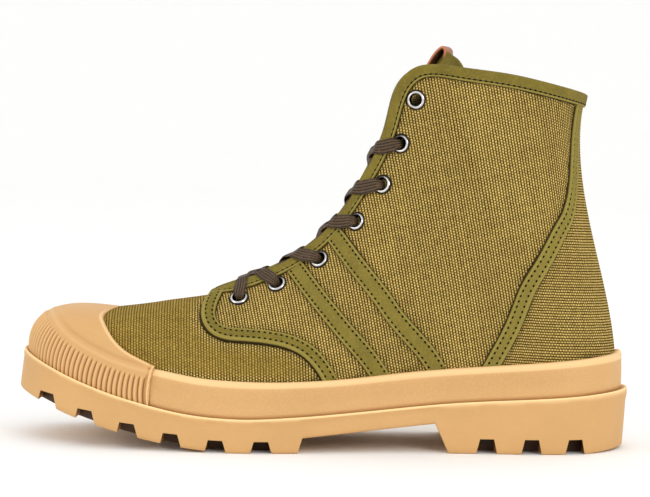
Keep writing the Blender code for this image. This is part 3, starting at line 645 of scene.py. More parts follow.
def colours():
    """The boot's colour settings."""
    return bpy.context.scene.boot_colours


def sizes():
    """The boot's size settings."""
    return bpy.context.scene.boot_sizes


def woven(name, thread, middle, gap, pitch, depth, rough, stretch):
    """Woven cloth: shade by thread, dark gaps, bump from the weave. Where the mask is above zero it carries
    painted shade along seams and in hollows, darkest from 1 to 2. Where the mask is below zero the weave is
    plainer and holds a little painted shade."""
    n = Finish(name)
    cloth = n.group(weave_group(), Vector=n.uv, Pitch=pitch, Stretch=stretch, Slub=0.07)
    colour = n.mix(cloth["Gap"], n.mix(cloth["Thread"], middle, thread), gap)
    colour = n.mix(n.between(n.mask, -1.0, 0.0, 0.5, 0.0), colour, shade(middle, 0.9))
    tone = n.between(cloth["Shade"], 0.0, 1.0, 0.80, 1.20)
    for factor in (
        n.between(n.noise(n.place, 28.0, 3.0), 0.3, 0.7, 0.94, 1.06),
        n.between(n.mask, 0.0, 1.0, 1.0, 0.2),
        n.between(n.mask, 1.0, 2.0, 1.0, 0.1),
    ):
        tone = n.times(tone, factor)
    grey = n.add("ShaderNodeCombineColor", tone, tone, tone).outputs[0]
    height = n.plus(cloth["Height"], n.times(n.noise(n.place, 2600.0), 0.35))
    n.end(Base_Color=n.mix(1.0, colour, grey, "MULTIPLY"), Normal=n.bump(height, depth),
          Roughness=rough, Specular_IOR_Level=0.02)


def canvas_finish():
    """Coarse plain-woven cotton duck."""
    c = colours()
    pitch = sizes().weave_pitch / MM
    woven("canvas", c.canvas_thread, c.canvas_middle, c.canvas_gap_and_painted_shadow, pitch,
          depth=0.00045, rough=0.85, stretch=0.5)


def lining_finish():
    """Finer plain cotton on the inside of the canvas."""
    c = colours().lining
    woven("lining", c, shade(c, 0.8), shade(c, 0.45), pitch=0.7, depth=0.0002, rough=0.9, stretch=1.1)


def insole_finish():
    """Plain woven sock lining."""
    c = colours().insole
    woven("insole", c, shade(c, 0.85), shade(c, 0.5), pitch=0.9, depth=0.00025, rough=0.9, stretch=1.1)


def tape_finish():
    """Smooth cotton tape: fine slanting twill lines, pale at its edges, sunk along its stitching."""
    n, c = Finish("tape"), colours()
    x, y = n.split(n.uv)
    twill = n.wave(n.plus(x, n.times(y, 1.7)), 2 * math.pi / 0.62)
    fleck = n.noise(n.place, 900.0)
    cloud = n.between(n.noise(n.place, 90.0, 4.0, 0.6), 0.3, 0.7)
    colour = n.mix(cloud, shade(c.tape, 0.86), shade(c.tape, 1.14))
    colour = n.mix(n.between(fleck, 0.45, 0.75, 0.0, 0.35), colour, c.tape_edge)
    colour = n.mix(n.between(n.mask, 0.0, 0.5, 0.0, 0.8), colour, c.tape_edge)
    # Above 0.5 the mask paints shade: the shadows beside the edges, along the binding's stitching and on the
    # tongue's band
    colour = n.mix(n.between(n.mask, 0.5, 1.0, 0.0, 0.9), colour, c.canvas_gap_and_painted_shadow)
    height = n.plus(n.times(twill, 0.5), n.times(fleck, 1.2))
    n.end(Base_Color=colour, Normal=n.bump(height, 0.00006), Roughness=0.8, Specular_IOR_Level=0.2)


def thread_finish():
    """Dark twisted sewing thread."""
    n, c = Finish("thread"), colours().thread
    colour = n.mix(n.noise(n.place, 3000.0), shade(c, 0.6), shade(c, 1.4))
    n.end(Base_Color=colour, Roughness=0.9, Specular_IOR_Level=0.1)


def rubber(name, grain, depth, fleck, smooth_highlit_top):
    """Moulded rubber: faint blotches and fine grain. The mask paints shade into grooves and hollows above
    zero, darkest in the notches, and paints highlights on edges below it. Where the top is smooth, it fades
    the grain out and paints a highlight on the edge instead."""
    n, c = Finish(name), colours()
    skin = n.group(grain_group(), Vector=n.place, Size=grain)
    height = skin["Height"]
    colour = n.mix(n.between(skin["Blotch"], 0.3, 0.7), shade(c.rubber, 0.95), c.rubber)
    colour = n.mix(n.between(height, 0.35, 0.75, fleck, 0.0), colour, c.rubber_fleck_and_painted_shade)
    if smooth_highlit_top:
        # Painted highlight on the smooth top edge, where the grain fades
        colour = n.mix(n.between(n.mask, 0.0, 1.0), colour, c.rubber_edge)
        height = n.times(height, n.between(n.mask, 0.0, 0.8, 1.0, 0.15))
    else:
        # Below zero the mask paints highlights on edges, brightest on the ledge's bead; from 0 to 0.5 it
        # paints shade in grooves; above 0.5 deeper painted shade
        for low, high, start, end, tint in (
            (-1.0, 0.0, 0.9, 0.0, c.rubber_edge), (-2.0, -1.0, 0.8, 0.0, shade(c.rubber_edge, 1.3)),
            (0.0, 0.5, 0.0, 0.85, c.rubber_fleck_and_painted_shade), (0.5, 1.0, 0.0, 0.95, c.rubber_painted_deep_shade),
        ):
            colour = n.mix(n.between(n.mask, low, high, start, end), colour, tint)
    n.end(Base_Color=colour, Roughness=n.between(skin["Blotch"], 0.2, 0.8, 0.62, 0.50),
          Normal=n.bump(height, depth), Specular_IOR_Level=0.35)


def rubber_finish():
    """Sole and cap: nearly smooth."""
    rubber("rubber", grain=0.7, depth=0.00002, fleck=0.05, smooth_highlit_top=False)


def foxing_finish():
    """Side band: fine pebble grain below a smooth edge with a painted highlight."""
    rubber("foxing rubber", grain=0.8, depth=0.00010, fleck=0.10, smooth_highlit_top=True)


def lace_finish():
    """Flat woven lace: strands along it, crossed by slanting picks that turn at its middle."""
    n, c = Finish("lace"), colours()
    x, y = n.split(n.uv)
    strand = n.math("ABSOLUTE", n.wave(x, math.pi / 1.35))
    pick = n.wave(n.plus(y, n.times(n.math("ABSOLUTE", x), 0.9)), 2 * math.pi / 1.5)
    height = n.plus(strand, n.times(pick, 0.18))
    worn = n.between(n.noise(n.place, 420.0, 3.0), 0.52, 0.72, 0.0, 0.55)
    colour = n.mix(n.between(height, 0.25, 1.0), c.lace_dark, c.lace)
    colour = n.mix(worn, colour, shade(c.lace, 1.5))
    n.end(Base_Color=colour, Normal=n.bump(height, 0.00022), Roughness=0.6, Specular_IOR_Level=0.35)


def eyelet_finish():
    """Plated metal with painted light: a painted highlight on the ring, a painted dark reflection on the
    flange and painted shade down the barrel.
    """
    n, c = Finish("eyelet"), colours()
    rub = n.times(n.math("SUBTRACT", n.noise(n.place, 700.0, 3.0), 0.5), 0.25)
    bright = n.between(n.plus(n.mask, rub), 0.3, 0.7)
    n.end(Base_Color=n.mix(bright, c.eyelet_painted_shade, c.eyelet),
          Roughness=n.between(bright, 0.0, 1.0, 0.42, 0.20), Metallic=1.0)


def leather_finish():
    """Tan leather, smooth on its face and paler at its cut edges, with painted shade on its back inside the
    loop.
    """
    n, c = Finish("leather"), colours().leather
    pores = n.noise(n.place, 1300.0, 4.0, 0.6)
    colour = n.mix(n.between(n.noise(n.place, 160.0, 3.0), 0.3, 0.7), shade(c, 0.8), c)
    colour = n.mix(n.between(n.mask, 0.2, 0.9), colour, shade(c, 1.35))
    # Painted shade on the back of the strip, inside the loop
    colour = n.mix(n.between(n.mask, -1.0, -0.1, 0.85, 0.0), colour, shade(c, 0.16))
    n.end(Base_Color=colour, Normal=n.bump(pores, 0.0001), Roughness=0.5)


def floor_finish():
    """Plain matte paper."""
    n = Finish("floor paper")
    n.end(Base_Color=bpy.context.scene.boot_stage.floor, Roughness=0.9, Specular_IOR_Level=0.1)


FINISHES = {
    "canvas": canvas_finish, "lining": lining_finish, "insole": insole_finish, "tape": tape_finish,
    "thread": thread_finish, "rubber": rubber_finish, "foxing rubber": foxing_finish,
    "lace": lace_finish, "eyelet": eyelet_finish, "leather": leather_finish, "floor paper": floor_finish,
}


def material(name):
    """The finish of that name, made the first time it is asked for."""
    if name not in bpy.data.materials or not bpy.data.materials[name].get("boot"):
        old = bpy.data.materials.get(name)
        if old:
            old.name = f"solid {name}"
        FINISHES[name]()
        bpy.data.materials[name]["boot"] = True
    return bpy.data.materials[name]


# Sole

LEDGE_ROWS = (      # (out, down, mask) from the ledge's corner, with its bead; the mask paints shade beside the side band and a highlight on the bead
    (-5.5, 0.0, 0.15), (-1.7, 0.0, 0.1), (-1.25, -0.3, -0.8), (-0.55, -0.38, -2.0), (-0.08, 0.0, -2.0),
    (0.04, 0.45, -0.8),
)
WALL_ROWS = (       # (share of the wall's height, out)
    (0.10, 0.10), (0.16, 0.02), (0.22, -0.18), (0.45, -0.12), (0.7, -0.05), (0.9, 0.0), (1.0, 0.0),
)
LUG_ROUND = 0.9                 # of a lug's lower corner
TREAD_BAR = 0.9                 # height of the bars across the tread's middle
NOTCH_SHADE = (0.4, 0.7, 0.85, 0.95, 1.0, 1.0, 1.0, 1.0, 0.4, 0.0)      # painted shade in a notch, from the wall inwards


def sole_notches():
    """Each notch's mouth and roof corners along the tread, as rows of (x, z). Its walls lean out from the
    roof, less on the toe's side, and end where they meet the tread."""
    down = np.linspace(0, 2, 81)
    places = [(x, FOREFOOT_NOTCH_DEPTH) for x in FOREFOOT_NOTCH_X]
    places += [(HEEL_NOTCH_X + k * LUG_PITCH, HEEL_NOTCH_DEPTH) for k in range(HEEL_NOTCHES)]
    roof, mouth = NOTCH_HALF_WIDTH
    corners = []
    for x, depth in sorted(places):
        slope = NOTCH_TILT * (tread_z(x + 1) - tread_z(x - 1)) / 2
        corner = []
        for way in (-1, 1):
            top = tread_z(x) + depth + way * roof * slope
            lean = (mouth - roof) * (1 + min(NOTCH_UPRIGHT * slope, 0) * (way < 0))
            foot = np.interp(0, tread_z(x + way * (roof + lean * down)) - top + depth * down, down)
            wall = [(x + way * (roof + lean * foot), top - depth * foot), (x + way * roof, top)]
            corner += wall[::-way]
        corners.append(corner)
    return np.array(corners)


def sole_stations(notches):
    """Section numbers for the sole's rows: evenly spread, with a row on each corner of a notch or the
    arch, and the mean x of the sole's two sides there."""
    fine = np.linspace(0, BACK, 3401)
    x = (outline(fine, LEDGE_OUT)[:, 0] + outline(-fine, LEDGE_OUT)[:, 0]) / 2
    x = np.maximum.accumulate(x + 1e-7 * np.arange(len(x)))
    arch_x, arch_z = np.array(ARCH).T
    feet = [np.interp(0, arch_z[:2], arch_x[:2]), np.interp(0, -arch_z[2:], arch_x[2:])]
    corners = np.concatenate((notches[..., 0].ravel(), arch_x[1:3], feet))
    corners = np.interp(corners, x, fine)
    spread = np.concatenate((np.linspace(0, 1, 40), np.linspace(1, 16, 300), np.linspace(16, 17, 40)))
    near = np.abs(spread[:, None] - corners).min(1) < 0.02
    u = np.unique(np.concatenate((spread[~near], corners, (0.0, BACK))))
    return u, np.interp(u, fine, x)


def outsole_skin():
    """Cross-sections from the outer ledge down the wall, over the tread and up the inner wall. The
    tread's height is the larger of toe spring, arch and notch, and notches end a set way in."""
    notches = sole_notches()
    u, x = sole_stations(notches)
    arch = np.interp(x, *np.array(ARCH).T, left=-1, right=-1)
    tread = np.maximum(tread_z(x), arch)
    cut = np.max([np.interp(x, *corner.T, left=-1, right=-1) for corner in notches], 0)
    edge = np.maximum(tread, cut)
    in_notch = step(edge - tread, 0.05, 1.0)
    flare = smooth(WALL_FLARE, u)
    bar = TREAD_BAR * bell((x % LUG_PITCH) - LUG_PITCH / 2, 1.6)

    def at_height(points, z):
        """Points moved up or down to a height."""
        points[:, 2] = z
        return points

    def side_rows(side):
        """Rows over the ledge and down the wall to the tread or a notch's roof."""
        rows = []
        for out, fall, _ in LEDGE_ROWS:
            points = outline(side * u, LEDGE_OUT + out)
            rows.append(at_height(points, ledge_z(points[:, 0]) - fall))
        ledge = ledge_z(outline(side * u, LEDGE_OUT)[:, 0])
        for share, out in WALL_ROWS:
            z = ledge + (edge + LUG_ROUND * (1 - in_notch) - ledge) * share
            drop = (ledge - z) / np.maximum(ledge - tread_z(x), 1)
            rows.append(at_height(outline(side * u, LEDGE_OUT + out + flare * drop), z))
        return rows

    def tread_rows(row):
        """Rows round a lug's corner, in to the notches' ends, and on to the tread's middle."""
        half = np.maximum(np.linalg.norm((middle - row)[:, :2], axis=1), 1e-6)
        begin = np.minimum(1.0 / half, 0.15)
        end = np.clip(np.minimum(LUG_REACH, half - NOTCH_CORE) / half, 0.2, 1)
        places = [(part * begin, edge + lift * (1 - in_notch)) for part, lift in ((0.35, 0.28), (1.0, 0.0))]
        places += [(begin + (end - begin) * part, edge) for part in (0.2, 0.4, 0.6, 0.8, 1.0)]
        places += [(end + (1 - end) * part, tread + bar * (part > 0.1)) for part in (0.02, 0.3, 0.65)]
        return [at_height(row + (middle - row) * share[:, None], z) for share, z in places]

    outer, inner = side_rows(1), side_rows(-1)
    middle = (outer[-1] + inner[-1]) / 2
    under = tread_rows(outer[-1]) + [at_height(middle.copy(), tread)] + tread_rows(inner[-1])[::-1]
    points = np.stack(outer + under + inner[::-1], 1)
    rim = [mask for *_, mask in LEDGE_ROWS]
    wall = np.broadcast_to(rim + [0.0] * len(WALL_ROWS), (len(u), len(outer)))
    mask = np.concatenate((wall, in_notch[:, None] * (*NOTCH_SHADE, 0.0, *NOTCH_SHADE[::-1]), wall[:, ::-1]), 1)
    return Skin().grid(points[:, ::-1], ring_uv(points), closed=(False, True), mask=mask[:, ::-1])


def insole_skin():
    """A board inside the canvas with a soft edge, on the sole's ledge height, sunk a little in its middle."""
    u = np.concatenate((np.linspace(0, 1, 14), np.linspace(1, 16, 90)[1:], np.linspace(16, 17, 14)[1:]))
    inset = -(CANVAS + CLEARANCE + 0.35)
    outer, inner = outline(u, inset), outline(-u, inset)
    rows = []
    for share, height in (
        (0.0, 0.0), (0.0, 0.75), (0.012, 0.95), (0.05, 1.0), (0.2, 0.92), (0.35, 0.84), (0.5, 0.8),
        (0.65, 0.84), (0.8, 0.92), (0.95, 1.0), (0.988, 0.95), (1.0, 0.75), (1.0, 0.0),
    ):
        points = outer + (inner - outer) * share
        points[:, 2] = ledge_z(points[:, 0]) + CLEARANCE + INSOLE_THICK * height
        rows.append(points)
    points = np.stack(rows, 1)
    uv = np.concatenate((points, points[:, :1]), 1)[..., [1, 0]]
    return Skin().grid(points, uv, closed=(False, True))


def cap_end_turned(u, height):
    """Section numbers drawn to the toe near the cap's ends, by a bell's fall and by height as a share of
    the rubber's, so that the join of cap and side band stands nearly upright."""
    around = np.where(u > BACK, u - LOOP, u)
    return u - np.sign(around) * CAP_END_TURN * np.clip(height, 0, 1) * bell(np.abs(around) - CAP_END, 0.7)


FOXING_PROFILE = (      # (share of the height, out, smoothness and painted highlight)
    (0.02, 2.95, 0.6), (0.12, 2.95, 0.3), (0.5, 2.95, 0.08), (0.7, 2.94, 0.05), (0.79, 2.90, 0.2),
    (0.82, 2.80, 0.7), (0.86, 2.90, 1.0), (0.91, 2.84, 1.0), (0.95, 2.60, 1.0), (0.98, 2.10, 1.0),
    (1.0, 1.35, 0.6), (1.0, 0.1, 0.0),
)


def foxing_skin():
    """The side band: its profile carried round from one end of the toe cap to the other. The edge rolls
    in at the top, the face is full below it, and a small lump marks the join at the back seam."""
    u = np.linspace(CAP_END + 0.005, LOOP - CAP_END - 0.005, 561)
    top = foxing_v(u)
    join = bell((u - BACK) / 0.16, 1)
    rows = []
    for share, out, _ in FOXING_PROFILE:
        v = top * share * (1 + 0.05 * join * step(share, 0.8, 1))
        rows.append(shell(cap_end_turned(u, share), v, out + 0.5 * join * step(share, 0.6, 0.9)))
    rows[0][:, 2] = ledge_z(rows[0][:, 0]) + 0.02
    inside = [shell(cap_end_turned(u, 1.0), top, -0.3), shell(u, 0.02 * top, -0.3)]
    # Mask: painted highlight on the top edge, and painted light low on the face above the ledge and over the
    # heel, where the grain also fades
    to_heel = step(np.minimum(u, LOOP - u), 11.0, 15.0)
    smooth_and_highlit = [part for *_, part in FOXING_PROFILE] + [0, 0]
    return Skin().tube(np.stack(rows + inside, 1), np.maximum(smooth_and_highlit, 0.22 * to_heel[:, None]))


CAP_THICK = 3.6                 # of the bumper below the crest
RIB_HEIGHT = 1.3
RIB_SINK = 0.75                 # of the grooves between the ribs
CAP_LIP = 0.8                   # height of the lip at both ends


def toe_cap_skin():
    """The moulded cap: rounded ribs fade out below a swollen crest, a smooth hollow face runs up from
    it, and a thin lip stands along the rear edge and at both ends. Over the middle the face bows down
    to its rear edge as on the end of an egg."""
    fine = np.linspace(-CAP_END, CAP_END, 1600)
    length = lengths_along(outline(fine, 3.5))
    ribs = int(lengths_along(outline(fine, 0.0))[-1] / RIB_PITCH)
    walked = np.linspace(0, length[-1], ribs * 8 + 1)
    u = np.interp(walked, length, fine)
    rib = np.abs(np.sin(math.pi * walked / length[-1] * ribs)) ** 0.7
    numbers = np.arange(-CAP_END, CAP_END + 1)
    edge, crest = [smooth(np.stack((numbers, half[:0:-1] + half), 1), u) for half in (CAP_EDGE, CAP_CREST)]

    def walk(start, stop):
        """Distance on the canvas from one share of each section to another."""
        v = start[:, None] + (stop - start)[:, None] * np.linspace(0, 1, 12)
        return lengths_along(surface(u[:, None], v))[:, -1]

    low, high = walk(0 * u, crest), walk(crest, edge)
    beside, late = step(np.abs(u), 0.3, 1.9), step(np.abs(u), 0.9, 2.4)
    ridge = 0.25 + 0.1 * beside
    end = np.minimum(walked, length[-1] - walked)
    strip, lip = step(end, 2.6, 1.4), step(end, 1.1, 0.6)
    # Painted shade in a line beside the lip at each end
    seam = 0.4 * bell(end - 1.9, 0.6)
    rows = []
    for t in np.linspace(0, 1, 34):
        below = (1 - t) * low
        fade = step(below, 1.9, 4.2) * (1 - strip)
        out = CAP_THICK + 0.35 * step(below, 7.0, 2.0) + ridge * bell(below, 1.7 - 0.5 * beside)
        # Mask: painted highlights on the crest, the lips and the tops of the ribs; painted shade in the
        # grooves between the ribs
        pale = np.max((0.35 * bell(below, 1.2), lip, 0.5 * fade * rib**2), 0)
        rows.append((crest * t, out + fade * (RIB_HEIGHT * rib - RIB_SINK) + CAP_LIP * lip,
                     seam + 0.66 * fade * (1 - rib) ** 1.1 - pale))
    for t in (1 - np.cos(math.pi * np.linspace(0, 1, 34)[1:])) / 2:
        past, left = t * high, (1 - t) * high
        fall = 1.05 * step(past, 0.6, 3.2) + 0.8 * step(past, 2.0, 20.0)
        brim, tuck = 0.42 * bell(left - 0.9, 0.55), 1.2 * (1 - step(left, -1.0, 0.9))
        flank = CAP_THICK + 0.35 - fall + brim - tuck
        bow = -0.35 + 4.3 * (1 - t**2.2) ** 1.1
        thick = beside + (late - beside) * t**3
        out = thick * flank + (1 - thick) * bow + ridge * bell(past, 1.5 - 0.4 * beside)
        # Painted highlights on the crest, the brim and the lips; painted shade in the hollow behind the crest
        pale = np.max((0.35 * bell(past, 1.1), 0.9 * beside * bell(left - 0.8, 0.7), lip), 0)
        rows.append((crest + (edge - crest) * t, out + CAP_LIP * lip,
                     seam + 0.16 * beside * bell(past - 3.0, 1.3) - pale))
    rows.append((edge, 0 * u - 0.5, 0 * u))
    v, out, mask = [np.stack(part, 1) for part in zip(*rows)]
    points = shell(cap_end_turned(u[:, None], v / CAP_EDGE[-1]), v, out)
    points[:, 0, 2] = ledge_z(points[:, 0, 0]) + 0.02
    share = np.array((1.0, 0.66, 0.33, 0.0))
    back = shell(cap_end_turned(u[:, None], share), edge[:, None] * share, -0.9)
    mask = np.concatenate((mask, np.zeros(back.shape[:2])), 1)
    return Skin().tube(np.concatenate((points, back), 1), mask)


# Upper

FAR = 1e3                       # stands for a distance that doesn't matter
NEAR = 12.0                     # distances beyond this aren't measured
SHADOW_SHARE = 0.7              # of its distance, at which an edge with a wider painted shadow counts
HOLE_RADIUS = 3.6               # of the eyelet holes in the canvas
PUCKER_PITCH = 6.3              # of the small waves along the canvas's seams
WARP_LEAN = math.radians(11)    # of the quarters' warp to the toe
QUARTER_TURN_X = 94.0           # where the quarters' map starts to turn round the heel
VAMP_AXIS = (3.0, 22.0)         # (y, z) of the line about which the vamp's map turns
VAMP_RADIUS = 46.0
HEEL_AXIS_X = 84.0              # where the upright line stands about which the heel panel's map turns
HEEL_RADIUS = 44.0


def tape_centres():
    """(u, v) lines down the middle of the outer side's tapes. The stays start under the binding."""
    lines = {
        name: through([locate(*point) for point in table], count)
        for name, table, count in (
            ("vamp", VAMP_TAPE, 160), ("front_stay", FRONT_STAY, 120), ("rear_stay", REAR_STAY, 120))
    }
    lines["counter"] = through([(u, v_at_height(u, z)[0]) for u, z in COUNTER_TAPE], 190)
    return lines


def across_tape(centre):
    """Steps of u and v for one millimetre across a tape, towards the collar side, all along it."""
    h = 0.01
    u, v = centre.T
    here = surface(u, v)
    by_u = (surface(u + h, v) - here) / h
    by_v = (surface(u, v + h) - here) / h
    along = unit(np.gradient(here, axis=0))
    across = unit(np.cross(normal(u, v), along))
    uu, uv, vv = (by_u * by_u).sum(1), (by_u * by_v).sum(1), (by_v * by_v).sum(1)
    au, av = (across * by_u).sum(1), (across * by_v).sum(1)
    spread = uu * vv - uv * uv
    moves = np.stack(((au * vv - av * uv) / spread, (av * uu - au * uv) / spread), 1)
    return moves if moves[len(moves) // 2, 1] > 0 else -moves


def throat_u(length):
    """Section numbers at distances along the throat's edge."""
    walk = np.linspace(CAP_END, BACK, 600)
    return np.interp(length, lengths_along(TOPS.at(walk)), walk)


def eyelet_places():
    """(u, v) of the outer side's eyelets."""
    along, inset = np.array(EYELETS).T
    u = throat_u(along)
    return np.stack((u, v_below_top(u, inset)), 1)


def about_eyelets(points):
    """For each eyelet in turn: its place, its axis, and the points' depth along and offset from it."""
    for u, v in eyelet_places():
        for side in (1, -1):
            place, axis = surface(side * u, v), normal(side * u, v)
            depth = (points - place) @ axis
            yield place, axis, depth, points - place - depth[..., None] * axis


def line_distance(points, line):
    """Distance of each point from the nearest point of a line, where it is less than a dozen millimetres."""
    found = np.full(len(points), FAR)
    near = ((points > line.min(0) - NEAR) & (points < line.max(0) + NEAR)).all(1)
    found[near] = np.linalg.norm(points[near][:, None] - line[None], axis=2).min(1)
    return found


def tape_gap(points, centres):
    """Distance of each point from the nearest edge of a tape. An edge with a wider painted shadow beside it
    counts as nearer."""
    gap = FAR
    for name, centre in centres.items():
        moves = across_tape(centre)
        for way in (1, -1):
            u, v = (centre + way * (TAPE_WIDTHS[name] / 2 + 0.2) * moves).T
            share = SHADOW_SHARE if (name, way) in TAPE_SHADOWS else 1.0
            for side in (1, -1):
                gap = np.minimum(gap, share * line_distance(points.reshape(-1, 3), surface(side * u, v)))
    return gap.reshape(points.shape[:-1])


def crease_relief(points):
    """Heights of the soft creases: a bell of the distance from each crease's line, as seen from the side."""
    relief = 0.0
    for crease in CREASES:
        run_x, run_z = crease.x1 - crease.x0, crease.z1 - crease.z0
        x, z = points[..., 0] - crease.x0, points[..., 2] - crease.z0
        along = np.clip((x * run_x + z * run_z) / (run_x**2 + run_z**2), 0, 1)
        away = np.hypot(x - along * run_x, z - along * run_z)
        relief = relief + crease.height * bell(away, crease.half_width)
    return sizes().crease_depth * relief


def wrapped(table):
    """A grid closed both ways: its first row and column are repeated at its end."""
    return np.pad(table, [(0, 1), (0, 1)] + [(0, 0)] * (table.ndim - 2), mode="wrap")


def face_corners(table):
    """The four corners of each face of a grid."""
    return np.stack((table[:-1, :-1], table[1:, :-1], table[1:, 1:], table[:-1, 1:]), 2)


def open_eyelets(points):
    """Pushes the canvas's points out of the eyelet holes on to their rims. Gives the faces to keep, those
    with a corner that was outside."""
    pushed = np.zeros(points.shape[:2], bool)
    for place, axis, depth, radial in about_eyelets(points):
        radius = np.linalg.norm(radial, axis=2)
        near = (radius < HOLE_RADIUS) & (np.abs(depth) < 6)
        rim = radial / np.maximum(radius, 1e-3)[..., None] * HOLE_RADIUS
        points[near] = (place + depth[..., None] * axis + rim)[near]
        pushed |= near
    return ~face_corners(wrapped(pushed)).all(2)


def upper_skin():
    """The canvas in one sheet: outer face, rolled top edge and lining. The vamp lies a little lower
    than the quarters that lap it and runs down under them at the throat, the cloth is drawn in along
    its seams, and soft creases are laid on as ridges with bell-shaped sides."""
    columns, rise, inside = 476, 106, 26
    u = np.arange(columns) * LOOP / columns
    v = np.concatenate((np.linspace(0, 0.2, 8), np.linspace(0.2, 1, rise - 7)[1:]))
    centres = tape_centres()
    uu, vv = np.meshgrid(u, v, indexing="ij")
    section = np.minimum(uu, LOOP - uu)
    flat, out = surface(uu, vv), normal(uu, vv)

    def section_of(line):
        """Where a tape's middle crosses each height."""
        by_u, by_v = line[np.argsort(line[:, 1])].T
        return np.interp(vv, by_v, by_u)

    vamp, heel = section_of(centres["vamp"]) - section, section - section_of(centres["counter"])
    binding = np.abs(np.linalg.norm(flat - TOPS.at(u)[:, None], axis=2) - BINDING_WIDTH)
    seam = np.minimum(tape_gap(flat, centres), np.where(section > CAP_END + 0.4, binding, FAR))
    pucker = 0.10 * np.sin(2 * math.pi * lengths_along(flat[:, -1])[:, None] / PUCKER_PITCH)
    relief = (
        -0.8 * step(vamp, -0.06, 0.10) - 2.2 * step(vv, 0.925, 1.0) * step(section, 4.55, 4.0)
        - 0.30 * bell(seam, 1.6) + pucker * bell(seam, 4.0) + crease_relief(flat)
    )

    face = flat + relief[..., None] * out
    lining_v = np.concatenate((np.linspace(1, 0.9, 6), np.linspace(0.9, 0, inside - 5)[1:]))
    lining_relief = np.stack([np.interp(lining_v, v, row) for row in relief])
    back = shell(u[:, None], lining_v, lining_relief - CANVAS)
    rolled = (face[:, -1] + back[:, 0]) / 2 + 0.5 * edge_way(u)
    points = np.concatenate((face, rolled[:, None], back), 1)
    keep = open_eyelets(points)

    rubber_edge = np.abs(flat[..., 2] - smooth(FOXING_TOP, flat[..., 0]))
    covered = np.minimum(seam, np.where(section > CAP_END, rubber_edge, FAR))
    # Painted shade: the canvas is darkened beside the tapes, the binding and the side band's top edge
    shaded = np.maximum(0.6 * bell(covered, 0.9), 0.2 * bell(covered, 3.2))
    mask = np.zeros(points.shape[:2])
    # On the vamp the mask goes below zero: a plainer weave with a little painted shade
    mask[:, :len(v)] = shaded - step(vamp, 0.0, 0.1) * np.clip(1 - shaded / 0.2, 0, 1)
    slot = np.broadcast_to(np.arange(points.shape[1]) >= len(v), points.shape[:2])
    uv = upper_uv(points, len(v), vamp, heel)
    return Skin().grid(points, uv, closed=(True, True), slot=slot, keep=keep, mask=mask)


def upper_uv(points, rise, vamp, heel):
    """UV for the canvas's panels, in millimetres along and across their threads. On the quarters the
    warp stands up the side and leans to the toe. On the vamp it runs over the foot. On the heel panel
    it lies level. Each face takes the map of the panel that its middle is on."""
    ring = wrapped(points)
    x, y, z = np.moveaxis(ring, -1, 0)
    move = np.diff(ring, axis=1)
    climb = np.hypot(move[..., 1], move[..., 2])
    climb[:, rise - 1:] *= -1
    tall = np.concatenate((z[:, :1], z[:, :1] + climb.cumsum(1)), 1)
    past = np.maximum(x - QUARTER_TURN_X, 0)
    bend = np.arctan2(past, np.maximum(np.abs(y), 1e-3)) * np.hypot(past, y)
    girth = np.minimum(x, QUARTER_TURN_X) + bend
    lean, straight = math.sin(WARP_LEAN), math.cos(WARP_LEAN)
    quarter = np.stack((girth * straight + tall * lean, tall * straight - girth * lean), -1)
    around = VAMP_RADIUS * np.arctan2(y - VAMP_AXIS[0], z - VAMP_AXIS[1])
    over = np.stack((x + 0.06 * around, around), -1)
    around = HEEL_RADIUS * np.arctan2(y, np.maximum(x - HEEL_AXIS_X, 1.0))
    level = 1.04 * np.stack((tall + 0.04 * around, around), -1)

    def inside(table):
        """Whether the middle of each face lies in a panel, where the table is above zero."""
        spare = points.shape[1] - table.shape[1]
        table = np.pad(table, ((0, 0), (0, spare)), mode="edge")
        return (face_corners(wrapped(table)).mean(2) > 0)[..., None, None]

    uv = np.where(inside(heel), face_corners(level), face_corners(quarter))
    return np.where(inside(vamp), face_corners(over), uv)


def stitch_wave(walked):
    """Small waves of a tape's surface from stitch to stitch."""
    return 0.05 * np.sin(2 * math.pi * walked / (sizes().stitch_pitch / MM))


def tape_skin(centre, name, side):
    """A tape on the canvas: a crowned strip with rolled edges, sunk along its stitch rows and pale outside
    them, and a dark slope beside each edge that paints its shadow on the canvas. Below the vamp tape the edge
    is as thick as the quarter that ends there."""
    moves = across_tape(centre)
    half, stitched = TAPE_WIDTHS[name] / 2, STITCH_ROWS[name]

    def edge(way):
        """(across, out, mask) from the foot of an edge inwards."""
        shadow, foot = TAPE_SHADOWS.get((name, way), TAPE_SHADOW)
        rows = ((shadow, foot, 1.0), (0.14, 0.15, 1.0), (0.1, 0.4, 0.7), (-0.05, 0.78, 0.5))
        return [(way * (half + beside), out, mask) for beside, out, mask in rows]

    across = np.linspace(0.35 - half, half - 0.35, 21)
    lip = np.maximum(across - stitched[0], stitched[1] - across)
    pale = np.maximum(TAPE_PALE[name], 0.42 * step(lip, 0.3, 0.7))
    face = zip(across, 1.1 - 0.12 * (across / half) ** 2, pale)
    profile = np.array([*edge(-1), *face, *edge(1)[::-1]])
    across, out, mask = profile.T
    away = np.abs(across - np.array(stitched)[:, None]).min(0)
    u, v = np.moveaxis(centre[:, None] + across[:, None] * moves[:, None], -1, 0)
    wave = stitch_wave(lengths_along(surface(*centre.T)))[:, None] * bell(away, 1.2)
    points = shell(side * u, np.minimum(v, 1.0), out - 0.16 * bell(away, 0.5) + wave)
    turned = np.cross(points[1, 0] - points[0, 0], points[0, -1] - points[0, 0])
    way = 1 if turned @ normal(side * centre[0, 0], centre[0, 1]) > 0 else -1
    return Skin().tube(points[:, ::way], mask[::way])


